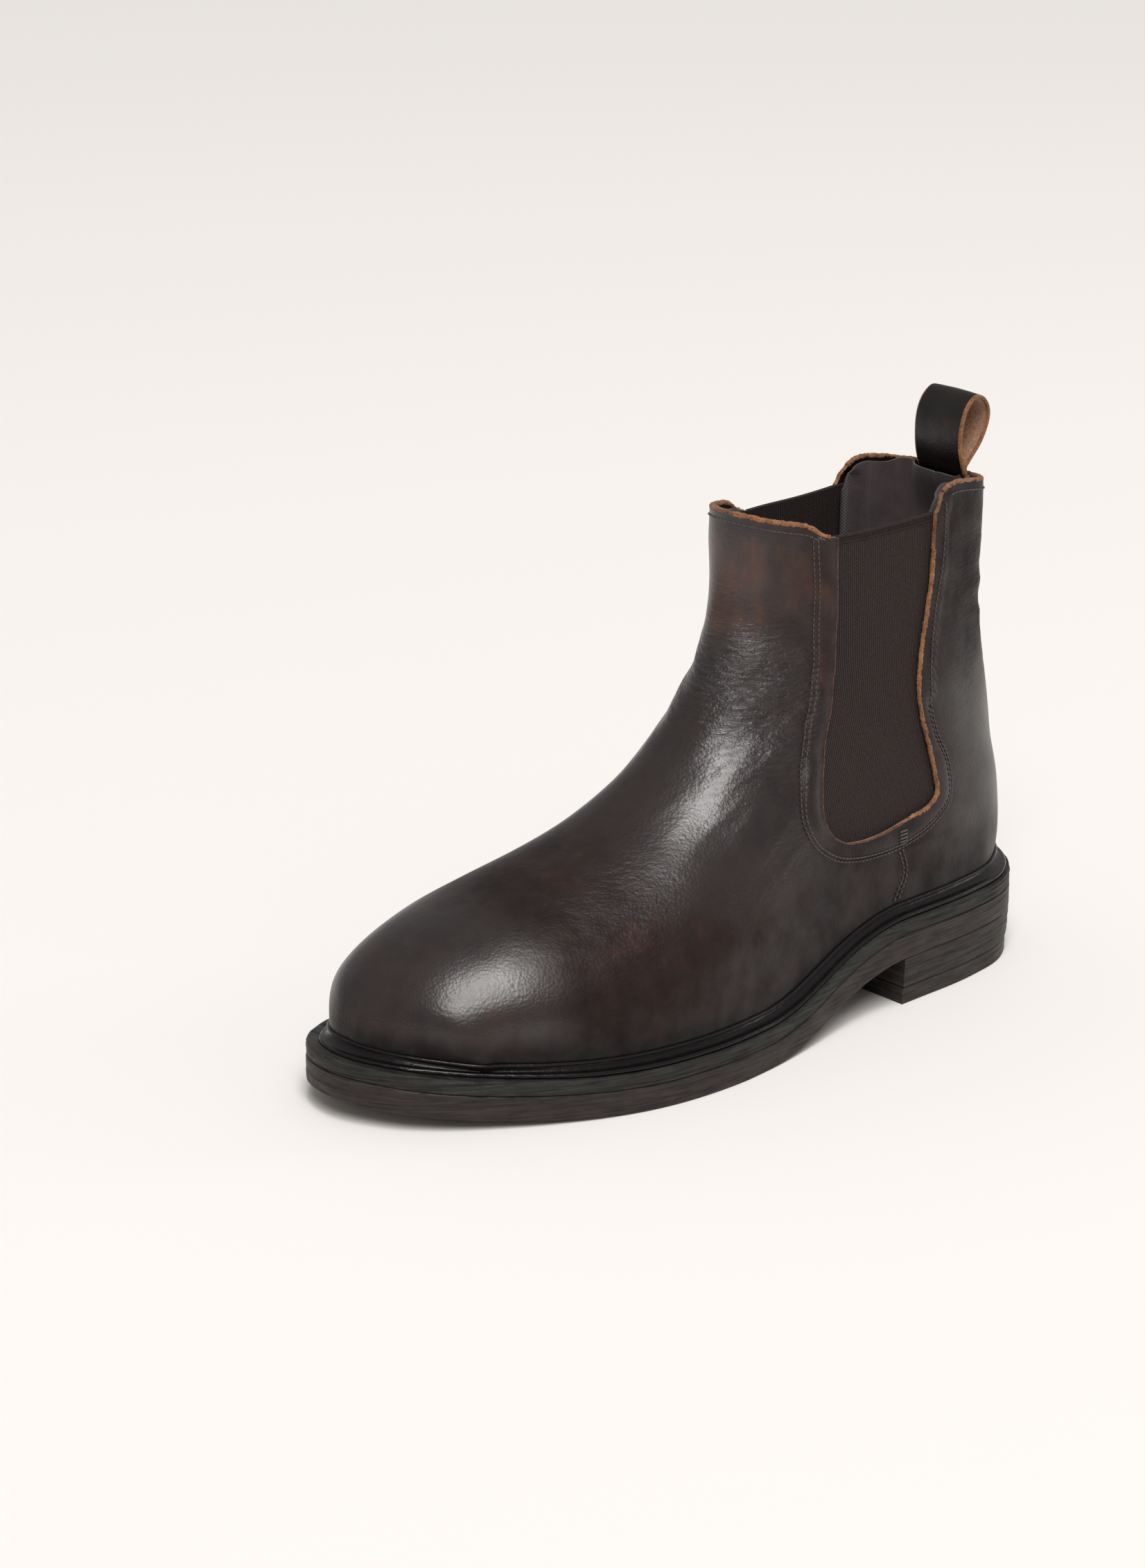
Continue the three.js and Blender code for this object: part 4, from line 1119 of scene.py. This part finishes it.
# ------------------------------------------------------------------ pull tab
def make_pull_tab():
    """One strap: down behind the lining, up, over and back down."""
    loop = catmull(TAB_LOOP, 12)
    rise = [(23.0, 160), (23.4, 168), (24.6, 175), (27.6, 178.4)]
    fall = [(26.3, 178.6), (23.9, 173), (22.6, 165), (22.3, 160)]
    line = resample(catmull(np.vstack([rise, loop[::6], fall]), 8), 0.9)
    along = np.gradient(line, axis=0)
    along /= np.linalg.norm(along, axis=1, keepdims=True)
    out = np.column_stack([along[:, 1], -along[:, 0]])
    if np.mean((line - line.mean(axis=0)) * out) < 0:
        out = -out
    half = TAB_THICKNESS / 2
    profile = [(-1, -0.55), (-1, 0.55), (-0.965, 0.97)]
    profile += [(u, 1.0) for u in np.linspace(-0.93, 0.93, 25)]
    profile += [(0.965, 0.97), (1, 0.55), (1, -0.55), (0.965, -0.97)]
    profile += [(u, -1.0) for u in np.linspace(0.93, -0.93, 25)]
    profile += [(-0.965, -0.97)]
    profile = np.array(profile)
    u, v = profile[:, 0], profile[:, 1]
    rings = []
    for k, (centre, way) in enumerate(zip(line, out)):
        crown = -0.35 * u**2
        width = TAB_WIDTH / 2 * (1 + 0.012 * math.sin(k * 0.31))
        across = LEG_CENTRE + u * width
        off = v * half + crown
        rings.append(np.column_stack([across, centre[0] + way[0] * off, centre[1] + way[1] * off]))
    rings = np.array(rings)
    bend = 0.25 * fractal(rings * np.array([0.11, 0.09, 0.09]), 2, 61)
    rings[..., 1] += bend
    number = numbered(*rings.shape[:2])
    faces = quads(number, around=True).tolist()
    kind = np.where((np.abs(u) > 0.94), 1, np.where(v > 0, 0, 2))
    pair = np.where(kind == np.roll(kind, -1), kind, 1)
    index = np.tile(pair, len(rings) - 1).tolist()
    faces += [number[0, ::-1].tolist(), number[-1].tolist()]
    index += [1, 1]
    looks = [LEATHER_LOOK, EDGE_LOOK, SUEDE_LOOK]
    strap = add_mesh("pull_tab_strap", rings.reshape(-1, 3), faces, looks, index)
    paint(strap)
    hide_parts("pull_tab", "pull_tab_ends")
    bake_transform(strap)


make_pull_tab()


# ------------------------------------------------------------------ welt
def loop_normals(loop):
    along = np.roll(loop, -1, axis=0) - np.roll(loop, 1, axis=0)
    along /= np.linalg.norm(along, axis=1)[:, None]
    turn = np.sign(np.sum(loop[:, 0] * np.roll(loop[:, 1], -1) - np.roll(loop[:, 0], -1) * loop[:, 1]))
    return -np.column_stack([-along[:, 1], along[:, 0]]) * turn


def even_loop(loop, step):
    return resample(np.vstack([loop, loop[:1]]), step)[:-1]


def make_welt():
    """A storm welt: a bead at the ledge, a hollow wall and a second bead against the leather."""
    loop = even_loop(FEATHER_LOOP, 0.9)
    away = loop_normals(loop)
    heights = (0.6, 2.6, 5.2)
    reach = []
    for (s, x), (ns, nx) in zip(loop, away):
        base = float(midsole_top(s))
        row = []
        for h in heights:
            start = Vector((x + nx * 40, s + ns * 40, base + h))
            hit, _, _, _ = UPPER_TREE.ray_cast(start, Vector((-nx, -ns, 0)), 60)
            row.append(40 - (start - hit).length if hit is not None else 0)
        reach.append(row)
    reach = np.array(reach)
    for _ in range(12):
        reach = 0.25 * np.roll(reach, 1, axis=0) + 0.5 * reach + 0.25 * np.roll(reach, -1, axis=0)
    _, mid, high = reach.T
    edge = 4.1
    ledge = np.full(len(loop), edge)
    wall = np.minimum(mid + 0.9, edge - 0.9)
    lip = high + 1.0
    base = midsole_top(loop[:, 0]) + 0.02

    def across(offset, height):
        out = loop + away * np.reshape(offset, (-1, 1))
        return np.column_stack([out[:, 1], out[:, 0], base + height])

    rows = [across(np.full(len(loop), -3.0), 0.0), across(ledge - 0.5, 0.0)]
    for angle in np.linspace(-80, 100, 9):
        a = math.radians(angle)
        rows.append(across(ledge - 0.95 + 0.95 * math.cos(a), 0.95 + 0.95 * math.sin(a)))
    for u in np.linspace(0.15, 0.9, 7):
        hollow = ledge * (1 - u) + np.maximum(lip, wall) * u - 1.15 - 0.75 * math.sin(math.pi * u)
        rows.append(across(np.minimum(hollow, ledge - 1.2), 1.6 + 2.5 * u))
    for angle in np.linspace(-75, 120, 9):
        a = math.radians(angle)
        rows.append(across(lip - 0.75 + 0.75 * math.cos(a), 4.75 + 0.62 * math.sin(a)))
    rows.append(across(high - 1.5, 5.0))
    grid = np.array(rows)
    shake = 0.05 * fractal(grid * np.array([0.5, 0.5, 0.9]), 3, 71)
    toe = smoothstep(grid[..., 1], 215, 262)
    shake = shake + 0.16 * toe * fractal(grid * np.array([0.75, 0.75, 1.1]), 2, 75) \
        * hill(grid[..., 2] - midsole_top(grid[..., 1]), 0.6, 1.3)
    grid[..., 0] += shake * away[None, :, 1]
    grid[..., 1] += shake * away[None, :, 0]
    number = numbered(*grid.shape[:2])
    faces = quads(np.vstack([number, number[:1]]), around=True)
    welt = add_mesh("storm_welt", grid.reshape(-1, 3), faces, [WELT_LOOK], sharp=60)
    finish_piece(welt, "welt_rubber", "welt")


make_welt()


# ------------------------------------------------------------------ soles and heel
ROW_PITCH = 0.35
PLATE_SHARP_ANGLE = 50
PAST_THE_TOE = 999


def plate(name, loop_to, inset, bottom, top, looks, relief_at, round_mm=0.5):
    """A flat-sided plate inside the sole outline; relief_at(points, perimeter) moves its edge in and out."""
    loop = inset_loop(SOLE_LOOP, lambda s: np.full_like(s, inset)) if inset else SOLE_LOOP
    lateral, medial, back, front = branches(loop)
    straight = loop_to < front - 1
    start = back + 0.001
    end = loop_to if straight else front - 0.001
    count = 420
    u = np.linspace(0, 1, count + 1)
    if straight:
        s_line = start + (end - start) * (1 - np.cos(u * np.pi / 2))
    else:
        s_line = start + (end - start) * (1 - np.cos(u * np.pi)) / 2
    left, right = lateral(s_line), medial(s_line)
    left[0] = right[0] = (left[0] + right[0]) / 2
    if not straight:
        left[-1] = right[-1] = (left[-1] + right[-1]) / 2
    lanes = 40
    if straight:
        crossing = np.linspace(left[-1], right[-1], lanes + 1)[1:-1]
        breast = np.column_stack([crossing, np.full(lanes - 1, s_line[-1])])
    else:
        breast = np.empty((0, 2))
    ring = np.vstack([np.column_stack([left, s_line]), breast,
                      np.column_stack([right, s_line])[::-1][(0 if straight else 1):-1]])
    loop_sx = ring[:, ::-1]
    away = loop_normals(loop_sx)[:, ::-1]
    if straight:
        away[count + 1:count + lanes] = (0, 1)
    walked = np.concatenate([[0], np.cumsum(np.linalg.norm(np.diff(ring, axis=0), axis=1))])
    low, high = bottom(ring[:, 1]), top(ring[:, 1])
    levels = max(int(round(float(np.mean(high - low)) / ROW_PITCH)), 4)
    rows = []
    for level in np.linspace(0, 1, levels + 1):
        z = low + (high - low) * level
        near = np.minimum(z - low, high - z)
        rounding = round_mm * (1 - np.sqrt(np.clip(1 - (1 - np.clip(near / round_mm, 0, 1)) ** 2, 0, 1)))
        p = np.column_stack([ring, z])
        out = relief_at(p, walked) * np.clip(near / 0.5, 0, 1) - rounding
        rows.append(np.column_stack([ring + away * out[:, None], z]))
    rows = np.array(rows)
    size = len(ring)
    faces = quads(numbered(len(rows), size), around=True).tolist()
    index = [0] * len(faces)
    points = [rows.reshape(-1, 3)]
    total = rows.shape[0] * size
    for row, face_look in ((rows[0], 1), (rows[-1], 2)):
        left_points = row[:count + 1]
        right_points = row[(size - np.arange(count + 1)) % size]
        f = np.linspace(0, 1, lanes + 1)
        cap = left_points[:, None] * (1 - f)[None, :, None] + right_points[:, None] * f[None, :, None]
        if straight:
            cap[-1, 1:-1] = row[count + 1:count + lanes]
        cap_number = numbered(*cap.shape[:2]) + total
        total += cap_number.size
        points.append(cap.reshape(-1, 3))
        some = quads(cap_number).tolist()
        faces += some
        index += [face_look] * len(some)
    made = add_mesh(name, np.vstack(points), faces, looks, index)
    weld(made)
    smooth(made, PLATE_SHARP_ANGLE)
    return made


def weld(made, distance_mm=0.004):
    clean = bmesh.new()
    clean.from_mesh(made.data)
    bmesh.ops.remove_doubles(clean, verts=clean.verts, dist=distance_mm * 0.001)
    bmesh.ops.dissolve_degenerate(clean, edges=clean.edges, dist=1e-7)
    bmesh.ops.recalc_face_normals(clean, faces=clean.faces)
    if clean.calc_volume(signed=True) < 0:
        bmesh.ops.reverse_faces(clean, faces=clean.faces)
    clean.to_mesh(made.data)
    clean.free()


def striations(depth, seed, fine=1.6):
    """Rough horizontal lines round an edge, as a rasp and a wheel leave them."""
    def at(p, walked):
        lines = fractal(np.column_stack([walked * 0.02, p[:, 2] * fine, np.zeros(len(p))]), 3, seed)
        nicks = fractal(np.column_stack([walked * 0.16, p[:, 2] * fine * 1.4, np.ones(len(p))]), 2, seed + 9)
        return depth * (0.75 * lines + 0.45 * nicks)
    return at


def level(z):
    return lambda s: np.full(np.shape(s), float(z))


def make_soles():
    def top_of_outsole(s):
        return sole_underside(s) + OUTSOLE

    def bottom_of_midsole(s):
        return top_of_outsole(s) + 0.05

    piece = plate("outsole_plate", PAST_THE_TOE, 0, sole_underside, top_of_outsole,
                  [OUTSOLE_LOOK, TREAD_LOOK, TREAD_LOOK], striations(0.13, 81, 1.2))
    finish_piece(piece, "sole_leather", "outsole")
    piece = plate("midsole_plate", PAST_THE_TOE, 0.15, bottom_of_midsole, midsole_top, [MIDSOLE_LOOK] * 3,
                  striations(0.3, 91, 1.5))
    finish_piece(piece, "midsole_leather", "midsole")
    step = (HEEL_HEIGHT - TOP_PIECE) / LIFT_COUNT
    for k in range(LIFT_COUNT):
        low = TOP_PIECE + k * step + (0.35 if k == 0 else 0.05)
        inset = HEEL_TAPER * (1 - (low + step / 2) / HEEL_HEIGHT)
        high = TOP_PIECE + (k + 1) * step - 0.05
        piece = plate(f"heel_lift_{k + 1}_plate", HEEL_LENGTH, inset, level(low), level(high),
                      [HEEL_LOOK] * 3, striations(0.2, 101 + k, 1.5), round_mm=0.15)
        finish_piece(piece, "sole_leather", f"heel_lift_{k + 1}")
    piece = plate("heel_top_piece_plate", HEEL_LENGTH, HEEL_TAPER, level(0), level(TOP_PIECE),
                  [HEEL_LOOK, TREAD_LOOK, HEEL_LOOK], striations(0.16, 111, 1.2), round_mm=0.35)
    finish_piece(piece, "heel_rubber", "heel_top_piece")


make_soles()


# ------------------------------------------------------------------ pieces kept from the CAD
KEPT_LOOKS = hidden_materials()
KEPT = {"toe_puff": "stiffener", "heel_counter": "stiffener", "insole_board": "board", "cork_filler": "cork",
        "shank": "steel", "sock_liner": "sock_leather", "heel_nail_1": "steel", "heel_nail_2": "steel",
        "heel_nail_3": "steel", "heel_nail_4": "steel"}
for node, look in KEPT.items():
    data = bpy.data.objects[node].data
    data.materials.clear()
    data.materials.append(KEPT_LOOKS[look])


# ------------------------------------------------------------------ floor, light and camera
FLOOR_HALF_WIDTH = 6.0
LIGHT_COLOR = (1.0, 0.985, 0.965)
LIGHT_AIM = Vector((0, 0, 0.08))
CAMERA_SPOT = Vector((1.1366, -1.0212, 0.6014))
CAMERA_RIGHT = Vector((0.64782, 0.76179, 0.00115))
CAMERA_UP = Vector((-0.24347, 0.20562, 0.94786))
LENS_MM = 106.9
SENSOR_MM = 36


def make_stage():
    look = Shader("pale_floor", (0.94, 0.912, 0.888), 0.8, **{"Specular IOR Level": 0.2})
    look.bump(look.noise((0.05, 0.05, 0.05), 4.0), 0.05)
    half = FLOOR_HALF_WIDTH
    low = float(CAD_BOX[0][2])
    mesh = bpy.data.meshes.new("floor")
    corners = [(-half, -half, low), (half, -half, low), (half, half, low), (-half, half, low)]
    mesh.from_pydata(corners, [], [(0, 1, 2, 3)])
    mesh.materials.append(look.material)
    floor = bpy.data.objects.new("floor", mesh)
    bpy.context.scene.collection.objects.link(floor)
    world = bpy.data.worlds.new("studio")
    world.use_nodes = True
    background = world.node_tree.nodes["Background"]
    background.inputs["Color"].default_value = (*LIGHT_COLOR, 1)
    background.inputs["Strength"].default_value = 0.36
    bpy.context.scene.world = world
    sun = bpy.data.lights.new("window_light", "SUN")
    sun.angle = math.radians(29)
    sun.energy = 1.5
    place(sun, direction(54, 54))
    softbox("window_top", direction(57, 70) * 4.0, 1.15, 44)
    softbox("overhead", direction(80, 82) * 4.0, 1.1, 10)
    softbox("rear_card", direction(160, 22) * 2.0, 0.45, 2.2)


def direction(azimuth, elevation):
    """A unit vector; azimuth 0 is in front of the toe and 90 on the outer side."""
    a, e = math.radians(azimuth), math.radians(elevation)
    return Vector((math.sin(a) * math.cos(e), -math.cos(a) * math.cos(e), math.sin(e)))


def place(data, spot):
    data.color = LIGHT_COLOR
    made = bpy.data.objects.new(data.name, data)
    made.location = spot
    made.rotation_euler = (LIGHT_AIM - spot).to_track_quat("-Z", "Y").to_euler()
    bpy.context.scene.collection.objects.link(made)


def softbox(name, spot, size, power):
    data = bpy.data.lights.new(name, "AREA")
    data.shape = "SQUARE"
    data.size = size
    data.energy = power
    place(data, spot)


def make_camera():
    data = bpy.data.cameras.new("camera")
    data.lens = LENS_MM
    data.sensor_width = SENSOR_MM
    camera = bpy.data.objects.new("camera", data)
    turn = Matrix((CAMERA_RIGHT, CAMERA_UP, CAMERA_RIGHT.cross(CAMERA_UP))).transposed()
    camera.matrix_world = Matrix.Translation(CAMERA_SPOT) @ turn.to_4x4()
    bpy.context.scene.collection.objects.link(camera)
    bpy.context.scene.camera = camera


make_stage()
make_camera()
bpy.context.scene.view_settings.view_transform = "Standard"
